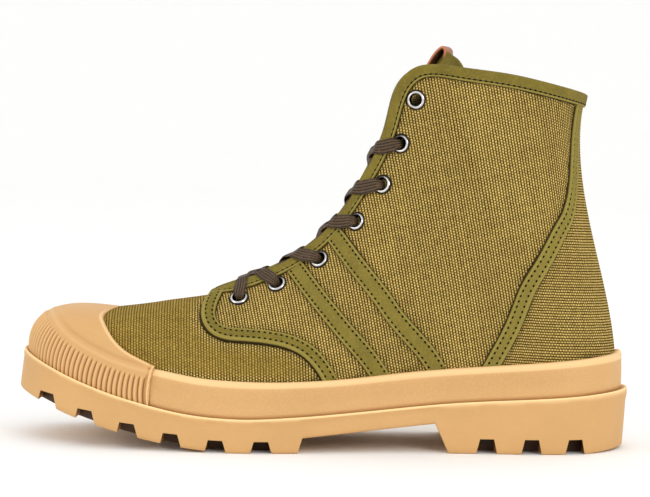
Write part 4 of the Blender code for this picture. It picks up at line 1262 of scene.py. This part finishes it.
def binding_skin():
    """Tape folded over the edge of throat and collar: down the outside, round the edge on a half
    ellipse, and down the inside."""
    u = np.linspace(CAP_END - 0.9, LOOP - CAP_END + 0.9, 660)
    top, out, up = TOPS.at(u), normal(u, 1.0), edge_way(u)
    wave = stitch_wave(lengths_along(top))
    outside = (     # (down, out, mask): above 0.5 the mask paints the shadow below the edge and shade along the stitching; below 0.5 the tape is paler
        (BINDING_WIDTH + 0.7, -0.45, 1.0), (BINDING_WIDTH + 0.14, 0.15, 1.0),
        (BINDING_WIDTH + 0.1, 0.5, 0.7), (BINDING_WIDTH - 0.05, 0.95, 0.5),
        (BINDING_WIDTH - 0.4, 1.18, 0.5), (BINDING_WIDTH - 0.75, 1.16, 0.4),
        (BINDING_STITCH + 0.3, 1.0, 0.8), (BINDING_STITCH, 0.96, 0.95), (BINDING_STITCH - 0.3, 1.04, 0.8),
        (BINDING_STITCH - 0.6, 1.24, 0.1), (2.6, 1.32, 0.0), (1.3, 1.36, 0.0), (0.3, 1.36, 0.0),
    )
    inside = ((0.3, -3.0), (2.0, -2.95), (4.0, -2.9), (5.2, -2.8), (5.5, -1.5))
    rows = [
        shell(u, v_below_top(u, down), away + wave * bell(down - BINDING_STITCH, 1.0))
        for down, away, _ in outside
    ]
    for turn in np.radians((20, 45, 70, 90, 110, 135, 160)):
        rows.append(top + (2.2 * math.cos(turn) - 0.9) * out + 0.95 * math.sin(turn) * up)
    rows += [shell(u, v_below_top(u, down), away) for down, away in inside]
    mask = np.zeros(len(rows))
    mask[:len(outside)] = [pale for *_, pale in outside]
    return Skin().tube(np.stack(rows, 1), mask)


STITCH_HALF_WIDE = 0.52
STITCH_HALF_TALL = 0.30


def stitch_lines(centres):
    """Points, ways along and ways up of every stitch, on the tapes and on the binding. Those of the
    counter lie deeper where they come round to the back."""
    pitch = sizes().stitch_pitch / MM
    lines = []
    for name, centre in centres.items():
        moves = across_tape(centre)
        for row in STITCH_ROWS[name]:
            u, v = (centre + row * moves).T
            keep = (v > foxing_v(u)) & (v < v_below_top(u, BINDING_WIDTH - 0.5))
            u, v = u[keep], v[keep]
            lines += [(side * u, v, 0.98 - 0.2 * step(u, 15.2, 15.8)) for side in (1, -1)]
    u = np.linspace(CAP_END - 0.5, LOOP - CAP_END + 0.5, 900)
    lines.append((u, v_below_top(u, BINDING_STITCH), 1.1))
    stitches = []
    for u, v, out in lines:
        points = shell(u, v, out)
        walked = lengths_along(points)
        count = int(walked[-1] / pitch)
        at = (np.arange(count) + 0.5) * walked[-1] / count
        behind, place, ahead = [
            np.stack([np.interp(at + shift, walked, part) for part in points.T], 1)
            for shift in (-0.3, 0.0, 0.3)
        ]
        up = normal(np.interp(at, walked, u), np.interp(at, walked, v))
        stitches.append((place, unit(ahead - behind), up))
    return [np.concatenate(part) for part in zip(*stitches)]


def stitch_skin():
    """Each stitch is a short rod with rounded, sunken ends, flattened on the tape."""
    places, ways, ups = [part[:, None, None] for part in stitch_lines(tape_centres())]
    along = np.array((-1.0, -0.8, 0.0, 0.8, 1.0)) * sizes().stitch_length / MM / 2
    thick = np.array((0.0, 0.85, 1.0, 0.85, 0.0))[:, None]
    sink = np.array((-0.36, -0.11, -0.04, -0.11, -0.36))[:, None]
    turn = np.linspace(0, 2 * math.pi, 6, endpoint=False)
    rods = (
        places + along[:, None, None] * ways
        + (STITCH_HALF_WIDE * thick * np.cos(turn))[..., None] * np.cross(ups, ways)
        + (STITCH_HALF_TALL * thick * np.sin(turn) + sink)[..., None] * ups
    )
    count, rings, sides = rods.shape[:3]
    within = np.arange(count * rings - 1) % rings != rings - 1
    keep = np.broadcast_to(within[:, None], (count * rings - 1, sides))
    uv = np.zeros((count * rings, sides + 1, 2))
    return Skin().grid(
        rods.reshape(count * rings, sides, 3)[:, ::-1], uv, closed=(False, True), keep=keep)


# Tongue

TONGUE_ROWS = 150
TONGUE_COLUMNS = 41
TONGUE_BAND = 16.0              # width of the tape at its top
TONGUE_UV_ROW = 62              # from which its weave is counted
TONGUE_ROUND = 13.0             # length over which the corners of its free end are rounded
TONGUE_DRAWN = 0.34             # share of its width that this takes


def tongue_faces():
    """The tongue's outer and inner face, as rows of nine points: sewn under the vamp, then in under the
    throat's edges with a crown between them, then leaning back in the collar."""
    faces = []
    for back in (0.0, TONGUE_THICK):
        under, from_edge = np.array(TONGUE_FRONT).T
        rows = [shell(under, v_below_top(under, from_edge), -(CANVAS + 2 * CLEARANCE + back))]
        for u in TONGUE_SECTIONS:
            down = v_below_top(u, (TONGUE_SIDE, TONGUE_SIDE / 2, 0.0))
            outer, inner = [shell(at, down, -(TONGUE_DEPTH + back)) for at in (u, -u)]
            up = unit(normal(u, 1.0) + normal(-u, 1.0))
            bridge = [
                outer[2] + share * (inner[2] - outer[2]) + rise * TONGUE_CROWN * up
                for share, rise in ((0.25, 0.75), (0.5, 1), (0.75, 0.75))
            ]
            rows.append(np.array([*outer, *bridge, *inner[::-1]]))
        across = np.linspace(-1, 1, 9)
        for row in TONGUE_FREE_ROWS:
            lean = math.atan2(row.side_z - row.z, row.side_x - row.x)
            rows.append(np.stack((
                row.x + (row.side_x - row.x) * across**2 + back * math.cos(lean),
                row.half_width * across,
                row.z + (row.side_z - row.z) * across**2 + back * math.sin(lean),
            ), 1))
        faces.append(np.array(rows))
    return faces


def tongue_skin():
    """The tongue's two faces on a smooth grid, joined round a soft edge, with a band of tape at its top."""
    outer, inner = [narrowed(refine(face, TONGUE_ROWS, TONGUE_COLUMNS)) for face in tongue_faces()]
    middle = (outer + inner) / 2
    near = middle[:, :1] + 0.8 * unit(middle[:, :1] - middle[:, 1:2])
    far = middle[:, -1:] + 0.8 * unit(middle[:, -1:] - middle[:, -2:-1])
    ring = np.concatenate((outer, far, inner[:, ::-1], near), 1)
    brow = middle[-1] + 0.9 * unit(middle[-1] - middle[-4])
    front, brow = [np.concatenate((row, row[-1:], row[::-1], row[:1])) for row in (middle[0], brow)]
    points = np.concatenate((front[None], ring, (0.35 * ring[-1] + 0.65 * brow)[None], brow[None]))
    along = lengths_along(points.swapaxes(0, 1)).T
    uv = ring_uv(points)
    uv[..., 1] = np.pad(along - along[TONGUE_UV_ROW], ((0, 0), (0, 1)), mode="wrap")
    walked = along[:, TONGUE_COLUMNS // 2]
    slot = np.zeros((points.shape[0] - 1, points.shape[1]), int)
    slot[:, TONGUE_COLUMNS:] = 2
    slot[walked[1:] > walked[-1] - TONGUE_BAND] = 1
    # Painted shade: the tongue is darkened where it shows through the eyelet holes, and on its flanks below
    # the collar
    hidden = FAR
    for _, _, depth, radial in about_eyelets(points):
        radius = np.linalg.norm(radial, axis=2)
        hidden = np.minimum(hidden, np.where((depth < 0) & (depth > -30), radius, FAR))
    aside = np.abs(points[..., 1])
    aside = aside / aside.max(1, keepdims=True)
    deep = 1.75 * step(aside, 0.18, 0.5) * step(walked[-1] - walked, 15.0, 26.0)[:, None]
    mask = np.maximum(0.95 * step(hidden, 6.5, 4.0), deep)
    return Skin().grid(points, uv, closed=(False, True), slot=slot, mask=mask)


def narrowed(face):
    """A face of the tongue with the corners of its free end rounded: its last rows are drawn together
    across, by a quarter circle's fall over their last dozen millimetres."""
    walked = lengths_along(face[:, face.shape[1] // 2])
    near = np.clip(1 - (walked[-1] - walked) / TONGUE_ROUND, 0, 1)
    share = 1 - TONGUE_DRAWN * (1 - np.sqrt(1 - (0.995 * near) ** 2))
    count = face.shape[1]
    across = (np.linspace(-1, 1, count)[None] * share[:, None] + 1) / 2 * (count - 1)
    low = np.minimum(across.astype(int), count - 2)
    part = (across - low)[..., None]
    rows = np.arange(len(face))[:, None]
    return face[rows, low] * (1 - part) + face[rows, low + 1] * part


def squared(wave, power):
    """A sine or cosine that stays longer near its ends."""
    return np.sign(wave) * np.abs(wave) ** power


def loop_skin():
    """The pull loop: a strip with rounded sides on a smooth line folded over the tongue's top."""
    line = through(LOOP_LINE, 70)
    along = unit(np.gradient(line, axis=0))
    out = np.stack((-along[:, 1], 0 * along[:, 0], along[:, 0]), 1)
    centre = np.stack((line[:, 0], 0 * line[:, 0], line[:, 1]), 1)
    turn = np.linspace(0, 2 * math.pi, 28, endpoint=False)[::-1]
    wide = LOOP_WIDTH / 2 * squared(np.cos(turn), 0.3)
    thick = LOOP_THICK / 2 * squared(np.sin(turn), 0.5)
    points = centre[:, None] + wide[:, None] * (LOOP_SKEW, 1, 0) + thick[:, None] * out[:, None]
    cut = step(np.abs(wide), LOOP_WIDTH / 2 - 0.6, LOOP_WIDTH / 2 - 0.1)
    # Below zero the mask paints shade on the strip's inner face; the cut sides are paler
    return Skin().tube(points, np.where(thick < -0.3, -1.0, cut))


# Eyelets and lace

EYELET_PROFILE = [     # (radius, height, painted highlight)
    (4.05, -2.9, 0.1), (3.4, -2.75, 0.1), (2.98, -2.3, 0.0), (2.92, -1.0, 0.0), (2.95, 0.3, 0.0),
    (3.04, 0.74, 0.1), (3.20, 1.02, 0.6), (3.42, 1.18, 1.0), (3.68, 1.20, 1.0), (3.92, 1.08, 0.8),
    (4.12, 0.92, 0.75), (4.34, 0.74, 0.25), (4.55, 0.62, 0.0), (4.76, 0.50, 0.15), (4.88, 0.30, 0.1),
    (4.80, -0.1, 0.0),
]
LACE_HEIGHT = 1.9               # of the lace's middle over the canvas
LACE_FOLD = (2.8, 1.9)          # half axes of the lace's way round the bound edge: out, and on past it
LACE_FOLD_IN = 0.9              # how far that ellipse's middle lies inside the edge
LACE_FAR_UNDER = (-3.0, -1.0)   # where the lace meets the far edge from below: out, and on past it
LACE_FAR_OVER = (1.3, 1.3)      # and where the straight bar meets it from above
LACE_RIM = 2.4                  # from an eyelet's middle to where the lace starts to turn in
LACE_DROPS = (0.0, 0.42, 0.45, 0.47, 0.60, 0.52)    # at the near edge, as shares of a step
LACE_SLOPE = (0.27, 0.53)       # more at the middle and the far edge
LACE_PASS = 0.62                # how far each half of the lace gives way where the two cross
LACE_BOW = 2.3                  # how far the lace stands up between the two edges
LACE_STEP = 0.6                 # between the rings along the finished lace
RING = np.linspace(0, 2 * math.pi, 18, endpoint=False)
RING_WIDE = 0.5 * squared(np.cos(RING), 0.55)
RING_TALL = 0.5 * squared(np.sin(RING), 0.75)


def frame_at(u, v):
    """Place, way out, and way down the canvas from the throat's edge, at a point of the canvas."""
    out = normal(u, v)
    down = surface(u, v - 0.02) - surface(u, v)
    return surface(u, v), out, unit(down - (down @ out) * out)


def eyelet_skin():
    """Each eyelet is a profile turned about the canvas's normal: barrel, ring and flange. Its mask paints a
    highlight on the ring, brightest on the side away from the throat and all round on the unlaced one, and
    leaves painted dark reflection and shade on the flange and the barrel."""
    radius, height, bright = np.array(EYELET_PROFILE).T
    turn = np.linspace(0, 2 * math.pi, 40, endpoint=False)
    skin = Skin()
    for number, (u, v) in enumerate(eyelet_places()):
        dull = 0.1 if number == len(EYELETS) - 1 else 0.33
        for side in (1, -1):
            place, out, down = frame_at(side * u, v)
            other = np.cross(out, down)
            spokes = np.cos(turn)[:, None] * down + np.sin(turn)[:, None] * other
            points = place + height[None, :, None] * out + radius[None, :, None] * spokes[:, None]
            painted_highlight = (1 - dull + dull * np.cos(turn))[:, None] * bright[None, ::-1]
            skin.grid(points[:, ::-1], closed=(True, True), mask=painted_highlight)
    return skin


def edge_at(length, side):
    """At distances along the throat's edge: section number, edge, normal, and way on past the edge."""
    u = throat_u(length)
    return u, TOPS.at(side * u), normal(side * u, 1.0), edge_way(side * u)


def lace_sheet(side, length, across, under):
    """A sheet drawn tight over the lacing, measured from one side: up the canvas while across is below
    zero, round the bound edge on an ellipse until it points at the far side, and straight on to the far
    edge, or to a place under it. Gives its points and how wide it is to there."""
    u, edge, out, rise = edge_at(length, side)
    _, far, far_out, far_rise = edge_at(length, -side)
    off, past = LACE_FAR_UNDER if under else LACE_FAR_OVER
    goal = far + off * far_out + past * far_rise
    wide, tall = LACE_FOLD
    turn = np.arctan2(-((goal - edge) * out).sum(-1) / wide, ((goal - edge) * rise).sum(-1) / tall)
    turn = np.clip(turn, 0.2, 2.0)
    arc = (wide + tall) / 2 * turn

    def fold(angle):
        """Points on the ellipse round the bound edge."""
        angle = angle[..., None]
        return edge + (wide * np.cos(angle) - LACE_FOLD_IN) * out + tall * np.sin(angle) * rise

    run = goal - fold(turn)
    bent = fold(turn * np.clip(across / arc, 0, 1)) + np.maximum(across - arc, 0)[..., None] * unit(run)
    canvas = shell(side * u, v_below_top(u, np.maximum(-across, 0)), LACE_HEIGHT)
    return np.where((across < 0)[..., None], canvas, bent), arc + np.linalg.norm(run, axis=-1)


def sheet_rings(side, face, line, under, width, lift):
    """Rings of points round the lace where it lies on the sheet: its width is spread on the sheet and
    its thickness stands along the sheet's normal. line holds (length, across) pairs."""
    h = 0.05

    def frames(length, across):
        """Points of the sheet, small steps along and across it, and its normals."""
        here = lace_sheet(side, length, across, under)[0]
        by_length = lace_sheet(side, length + h, across, under)[0] - here
        by_across = lace_sheet(side, length, across + h, under)[0] - here
        return here, by_length, by_across, side * unit(np.cross(by_length, by_across))

    _, by_length, by_across, out = frames(*line.T)
    way = unit(np.gradient(line, axis=0))
    side_way = np.stack((-way[:, 1], way[:, 0]), 1)
    along = way[:, :1] * by_length + way[:, 1:] * by_across
    spread = side_way[:, :1] * by_length + side_way[:, 1:] * by_across
    side_way = side_way * np.sign((spread * np.cross(along, face * out)).sum(1))[:, None]
    places = line[:, None] + side_way[:, None] * (RING_WIDE * width[:, None])[..., None]
    here, _, _, out = frames(places[..., 0], places[..., 1])
    rise = face * RING_TALL * sizes().lace_thick / MM + lift[:, None]
    return list(here + rise[..., None] * out)


def eyelet_rings(u, v, side, face, from_edge):
    """Rings of points where the lace turns over an eyelet's rim, narrows, goes in and turns up inside."""
    width, thick = sizes().lace_width / MM, sizes().lace_thick / MM
    place, out, down = frame_at(side * u, v)
    way = place - from_edge
    way = unit(way - (way @ out) * out)
    rings = []
    for centre, along, up, narrow, full in (
        (1.60 * out - 1.9 * way, way - 0.35 * out, out + 0.35 * way, 0.84, 1.1),
        (0.75 * out - 0.85 * way, way - out, out + way, 0.74, 1.25),
        (-0.9 * out - 0.35 * way, -out, way, 0.66, 1.3),
        (-2.6 * out - 0.5 * way, -out - 0.2 * down, way - 0.2 * out, 0.66, 1.2),
        (-4.0 * out - 2.6 * down, -down, -out, 0.8, 1.0),
    ):
        across = unit(np.cross(along, face * up))
        up = unit(np.cross(across, along))
        rings.append(place + centre + RING_WIDE[:, None] * width * narrow * across
                     + RING_TALL[:, None] * thick * full * up)
    return rings


def lace_half(start):
    """Rings along half of the lace: from the middle of the straight bar into the first eyelet on one
    side, then in a zigzag from side to side, each time up from inside, under the far edge, over or
    under the other half, and over the near edge to the next eyelet, to end inside the last laced one."""
    width = sizes().lace_width / MM
    eyelets, rings = eyelet_places(), []
    side, face = start, 1
    for number, (level, inset) in enumerate(EYELETS[:-1]):
        under = number > 0
        step_up = level - EYELETS[number - 1].along if under else 0.0
        near = LACE_DROPS[number]
        middle = near + LACE_SLOPE[0]
        far = float(lace_sheet(side, np.array([level - middle * step_up]), np.zeros(1), under)[1][0])
        rim = LACE_RIM - inset
        across = np.concatenate((
            np.linspace(far if under else 0.47 * far, 3.2, 9), np.linspace(2.4, -0.8, 7),
            np.linspace(-1.8, rim, 6)))
        drops = [(-inset, 0.0), (0.0, near), (far / 2, middle), (far, min(near + LACE_SLOPE[1], 1.03))]
        line = np.stack((level - step_up * smooth(drops, across), across), 1)
        over = LACE_PASS if (side > 0) == (number % 2 == 0) else -LACE_PASS
        bow = LACE_BOW * step(across, 1.6, 9.5) * step(far - across, 1.5, 6.5)
        lift = under * (over * bell(across - far / 2, 5.0) + bow)
        narrow = np.interp(across, (rim, rim + 4, 1.0, 5.0), (0.84, 0.98, 0.9, 0.82))
        rings += sheet_rings(side, face, line, under, narrow * width, lift)
        rings += eyelet_rings(*eyelets[number], side, face, rings[-4].mean(0))
        side, face = -side, -face
    return np.array(rings)


def lace_skin():
    """A flat ribbon with rounded sides, smooth through its rings, from one of its ends to the other."""
    one, other = lace_half(1), lace_half(-1)
    turned = (len(RING) // 2 - np.arange(len(RING))) % len(RING)
    rings = np.concatenate((one[::-1][:, turned], other))
    knots = lengths_along(rings.mean(1))
    points = through(rings, int(knots[-1] / LACE_STEP), knots)
    uv = ring_uv(points)
    uv[..., 0] = np.append(RING_WIDE, RING_WIDE[:1]) * sizes().lace_width / MM
    return Skin().tube(points, uv=uv)


# Settings

def colour(name, description, red, green, blue):
    """A colour setting."""
    return bpy.props.FloatVectorProperty(
        name=name, description=description, subtype="COLOR", size=3, min=0.0, max=1.0,
        default=srgb(red, green, blue),
    )


def amount(name, description, default, **limits):
    """A setting of zero or more."""
    return bpy.props.FloatProperty(
        name=name, description=description, default=default, **{"min": 0.0, **limits})


def length(name, description, default):
    """A setting in metres."""
    return amount(name, description, default, unit="LENGTH")


class BootColours(bpy.types.PropertyGroup):
    """Colours of the boot's materials."""

    canvas_thread: colour("Canvas thread", "Crown of the canvas's warp threads", 226, 200, 135)
    canvas_middle: colour("Canvas", "Main colour of the canvas", 145, 117, 41)
    # Dark gaps of the weave, and the painted shadow beside the tapes' edges
    canvas_gap_and_painted_shadow: colour("Canvas gap", "Between the threads of the canvas", 36, 22, 1)
    tape: colour("Tape", "Binding, stays and seam tapes", 116, 102, 38)
    tape_edge: colour("Tape edge", "Worn edges of the tape", 152, 137, 66)
    thread: colour("Thread", "Sewing thread", 16, 12, 5)
    rubber: colour("Rubber", "Sole, side band and toe cap", 208, 162, 104)
    # Painted highlight on the side band's top edge and on the rims, lips and rib tops of the rubber
    rubber_edge: colour("Rubber edge", "Smooth upper edge of the side band", 234, 194, 138)
    # Deep painted shade in the notches between the lugs and the deepest grooves
    rubber_painted_deep_shade: colour("Rubber grime", "Dark hollows between the lugs", 66, 44, 26)
    # Grain flecks, and painted shade in the rubber's grooves and corners
    rubber_fleck_and_painted_shade: colour("Rubber shade", "Grooves and corners of the rubber", 150, 98, 48)
    lace: colour("Lace", "Strands of the lace", 86, 63, 37)
    lace_dark: colour("Lace gap", "Between the strands of the lace", 18, 11, 6)
    # Painted highlight on the eyelets' rings
    eyelet: colour("Eyelet ring", "Bright ring of an eyelet", 206, 204, 202)
    # Painted dark reflection on the eyelets' flanges and painted shade down their barrels
    eyelet_painted_shade: colour("Eyelet flange", "Dark flange and barrel of an eyelet", 50, 42, 40)
    leather: colour("Leather", "Pull loop", 166, 100, 58)
    lining: colour("Lining", "Inside of the canvas", 150, 134, 88)
    insole: colour("Insole", "Sock lining", 186, 168, 128)


class BootSizes(bpy.types.PropertyGroup):
    """Sizes of the boot's surface detail."""

    weave_pitch: length("Weave pitch", "From one canvas thread to the next", 0.00134)
    stitch_pitch: length("Stitch pitch", "From one stitch to the next", 0.0027)
    stitch_length: length("Stitch length", "Length of one stitch", 0.00135)
    lace_width: length("Lace width", "Width of the flat lace", 0.0064)
    lace_thick: length("Lace thickness", "Thickness of the flat lace", 0.0011)
    crease_depth: amount(
        "Crease depth", "Strength of the soft creases in the canvas", 1.0, max=3.0, subtype="FACTOR")


class BootStage(bpy.types.PropertyGroup):
    """Floor, light and camera."""

    floor: colour("Floor", "Colour of the floor", 247, 247, 246)
    daylight: amount("Daylight", "Strength of the even light all round", 1.1)
    key: amount("Key light", "Power of the light beside the camera", 7.0, unit="POWER")
    side: amount("Side light", "Power of the light before the toe", 3.0, unit="POWER")
    distance: length("Camera distance", "From the camera to the boot's middle plane", 1.05)
    height: length("Camera height", "Above the floor", 0.15)
    turn: bpy.props.FloatVectorProperty(
        name="Camera turn", description="Pitch, roll and heading of the camera", size=3, subtype="EULER",
        default=(1.51807, -0.02059, 0.00178))
    lens: amount("Focal length", "Of the lens, in millimetres on a 36 mm sensor", 118.2, min=1.0)


# Operators

def finish_piece(skin, name, finishes, nodes, sharp=None, weld=True):
    """Makes a piece that rides on the boot's body, stands for some solids and takes the finishes named."""
    piece = skin.make(name, finishes, sharp, weld)
    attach(piece, BODY)
    if nodes:
        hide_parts(*nodes)


class BOOT_OT_outsole(bpy.types.Operator):
    """Build the rubber outsole with its ledge, lugs and tread"""

    bl_idname = "boot.outsole"
    bl_label = "Outsole"

    def execute(self, context):
        finish_piece(outsole_skin(), "outsole_rubber", ["rubber"], ["outsole"], sharp=38)
        return {"FINISHED"}


class BOOT_OT_insole(bpy.types.Operator):
    """Build the insole"""

    bl_idname = "boot.insole"
    bl_label = "Insole"

    def execute(self, context):
        finish_piece(insole_skin(), "insole_board", ["insole"], ["insole"])
        return {"FINISHED"}


class BOOT_OT_foxing(bpy.types.Operator):
    """Build the rubber side band"""

    bl_idname = "boot.foxing"
    bl_label = "Foxing"

    def execute(self, context):
        finish_piece(foxing_skin(), "foxing_band", ["foxing rubber"], ["foxing"])
        return {"FINISHED"}


class BOOT_OT_toe_cap(bpy.types.Operator):
    """Build the ribbed rubber toe cap"""

    bl_idname = "boot.toe_cap"
    bl_label = "Toe cap"

    def execute(self, context):
        finish_piece(toe_cap_skin(), "toe_cap_rubber", ["rubber"], ["toe_cap"])
        return {"FINISHED"}


class BOOT_OT_upper(bpy.types.Operator):
    """Build the canvas upper with its lining and eyelet holes"""

    bl_idname = "boot.upper"
    bl_label = "Upper"

    def execute(self, context):
        finish_piece(upper_skin(), "upper_canvas", ["canvas", "lining"], ["upper"], weld=False)
        return {"FINISHED"}


class BOOT_OT_tapes(bpy.types.Operator):
    """Build the seam tapes and stays on both sides"""

    bl_idname = "boot.tapes"
    bl_label = "Tapes"

    def execute(self, context):
        for name, centre in tape_centres().items():
            stem = name if name.endswith("stay") else f"{name}_tape"
            for side, word in ((1, "outer"), (-1, "inner")):
                node = f"{stem}_{word}"
                finish_piece(tape_skin(centre, name, side), f"{node}_cloth", ["tape"], [node])
        return {"FINISHED"}


class BOOT_OT_binding(bpy.types.Operator):
    """Build the binding of collar and throat"""

    bl_idname = "boot.binding"
    bl_label = "Binding"

    def execute(self, context):
        finish_piece(binding_skin(), "collar_binding_cloth", ["tape"], ["collar_binding"])
        return {"FINISHED"}


class BOOT_OT_stitches(bpy.types.Operator):
    """Build the rows of stitches on tapes and binding"""

    bl_idname = "boot.stitches"
    bl_label = "Stitches"

    def execute(self, context):
        finish_piece(stitch_skin(), "stitch_rows", ["thread"], [])
        return {"FINISHED"}


class BOOT_OT_tongue(bpy.types.Operator):
    """Build the tongue and its pull loop"""

    bl_idname = "boot.tongue"
    bl_label = "Tongue and loop"

    def execute(self, context):
        finish_piece(tongue_skin(), "tongue_cloth", ["canvas", "tape", "lining"], ["tongue"])
        finish_piece(loop_skin(), "tongue_loop_leather", ["leather"], ["tongue_loop"])
        return {"FINISHED"}


class BOOT_OT_eyelets(bpy.types.Operator):
    """Build the metal eyelets"""

    bl_idname = "boot.eyelets"
    bl_label = "Eyelets"

    def execute(self, context):
        nodes = [f"eyelet_{word}_{k + 1}" for word in ("outer", "inner") for k in range(len(EYELETS))]
        finish_piece(eyelet_skin(), "eyelet_rings", ["eyelet"], nodes)
        return {"FINISHED"}


class BOOT_OT_laces(bpy.types.Operator):
    """Build the lace through its eyelets"""

    bl_idname = "boot.laces"
    bl_label = "Laces"

    def execute(self, context):
        nodes = ["lace_bar_1"] + [f"lace_cross_{k}" for k in range(2, len(EYELETS))]
        finish_piece(lace_skin(), "lace_ribbon", ["lace"], nodes)
        return {"FINISHED"}


class BOOT_OT_stage(bpy.types.Operator):
    """Build the floor, the lights and the camera"""

    bl_idname = "boot.stage"
    bl_label = "Stage"

    def execute(self, context):
        stage = context.scene.boot_stage
        self.floor()
        self.lights(context, stage)
        self.camera(context, stage)
        context.scene.view_settings.view_transform = "Standard"
        return {"FINISHED"}

    def floor(self):
        """A round sheet that lies flat under the boot and sweeps up far away on a quarter circle."""
        turn = np.linspace(0, math.pi / 2, 16)
        radius = np.concatenate((np.linspace(0.05, 4, 9), 4 + 2 * np.sin(turn), [6.0]))
        height = np.concatenate((np.zeros(9), 2 - 2 * np.cos(turn), [2.6]))
        way = np.linspace(0, 2 * math.pi, 96, endpoint=False)
        points = np.stack((
            radius[:, None] * np.cos(way), radius[:, None] * np.sin(way), height[:, None] + 0 * way), -1) / MM
        skin = Skin().grid(points, closed=(False, True)).lids(points[0])
        skin.make("floor_sheet", ["floor paper"])

    def lights(self, context, stage):
        """Even light all round, a soft light beside the camera, and a weaker one before the toe."""
        world = bpy.data.worlds.new("studio")
        world.use_nodes = True
        world.node_tree.nodes["Background"].inputs["Color"].default_value = (1.0, 1.0, 1.0, 1.0)
        world.node_tree.nodes["Background"].inputs["Strength"].default_value = stage.daylight
        context.scene.world = world
        aim = Vector((0.0, 0.0, 0.08))
        for name, place, size, power in (
            ("key light", (0.75, -1.35, 0.8), 0.7, stage.key),
            ("side light", (-1.3, -0.7, 0.7), 0.5, stage.side),
        ):
            data = bpy.data.lights.new(name, "AREA")
            data.shape, data.size, data.energy = "SQUARE", size, power
            light = bpy.data.objects.new(name, data)
            light.location = place
            light.rotation_euler = (aim - Vector(place)).to_track_quat("-Z", "Y").to_euler()
            context.scene.collection.objects.link(light)

    def camera(self, context, stage):
        """A long lens before the outer side, looking slightly down and rolled a little."""
        data = bpy.data.cameras.new("camera")
        data.sensor_width, data.lens = 36.0, stage.lens
        camera = bpy.data.objects.new("camera", data)
        camera.location = (0.0, -stage.distance, stage.height)
        camera.rotation_euler = stage.turn
        context.scene.collection.objects.link(camera)
        context.scene.camera = camera


PIECES = (
    BOOT_OT_outsole, BOOT_OT_insole, BOOT_OT_foxing, BOOT_OT_toe_cap, BOOT_OT_upper, BOOT_OT_tapes,
    BOOT_OT_binding, BOOT_OT_stitches, BOOT_OT_tongue, BOOT_OT_eyelets, BOOT_OT_laces, BOOT_OT_stage,
)


class BOOT_PT_panel(bpy.types.Panel):
    """The boot's pieces and settings, in the sidebar"""

    bl_idname = "BOOT_PT_panel"
    bl_label = "Canvas ankle boot"
    bl_space_type = "VIEW_3D"
    bl_region_type = "UI"
    bl_category = "Boot"

    def draw(self, context):
        for piece in PIECES:
            self.layout.operator(piece.bl_idname)
        for group in (context.scene.boot_colours, context.scene.boot_sizes, context.scene.boot_stage):
            box = self.layout.box()
            for name in group.__annotations__:
                box.prop(group, name)


CLASSES = (BootColours, BootSizes, BootStage, *PIECES, BOOT_PT_panel)


def register():
    for each in CLASSES:
        bpy.utils.register_class(each)
    bpy.types.Scene.boot_colours = bpy.props.PointerProperty(type=BootColours)
    bpy.types.Scene.boot_sizes = bpy.props.PointerProperty(type=BootSizes)
    bpy.types.Scene.boot_stage = bpy.props.PointerProperty(type=BootStage)


def unregister():
    del bpy.types.Scene.boot_stage
    del bpy.types.Scene.boot_sizes
    del bpy.types.Scene.boot_colours
    for each in reversed(CLASSES):
        bpy.utils.unregister_class(each)


def clear_start():
    """Removes the cube, the light and the camera that a new file holds."""
    for name in ("Cube", "Light", "Camera"):
        if name in bpy.data.objects:
            bpy.data.objects.remove(bpy.data.objects[name])


def main():
    register()
    clear_start()
    for piece in PIECES:
        group, name = piece.bl_idname.split(".")
        getattr(getattr(bpy.ops, group), name)()


if __name__ == "__main__":
    main()
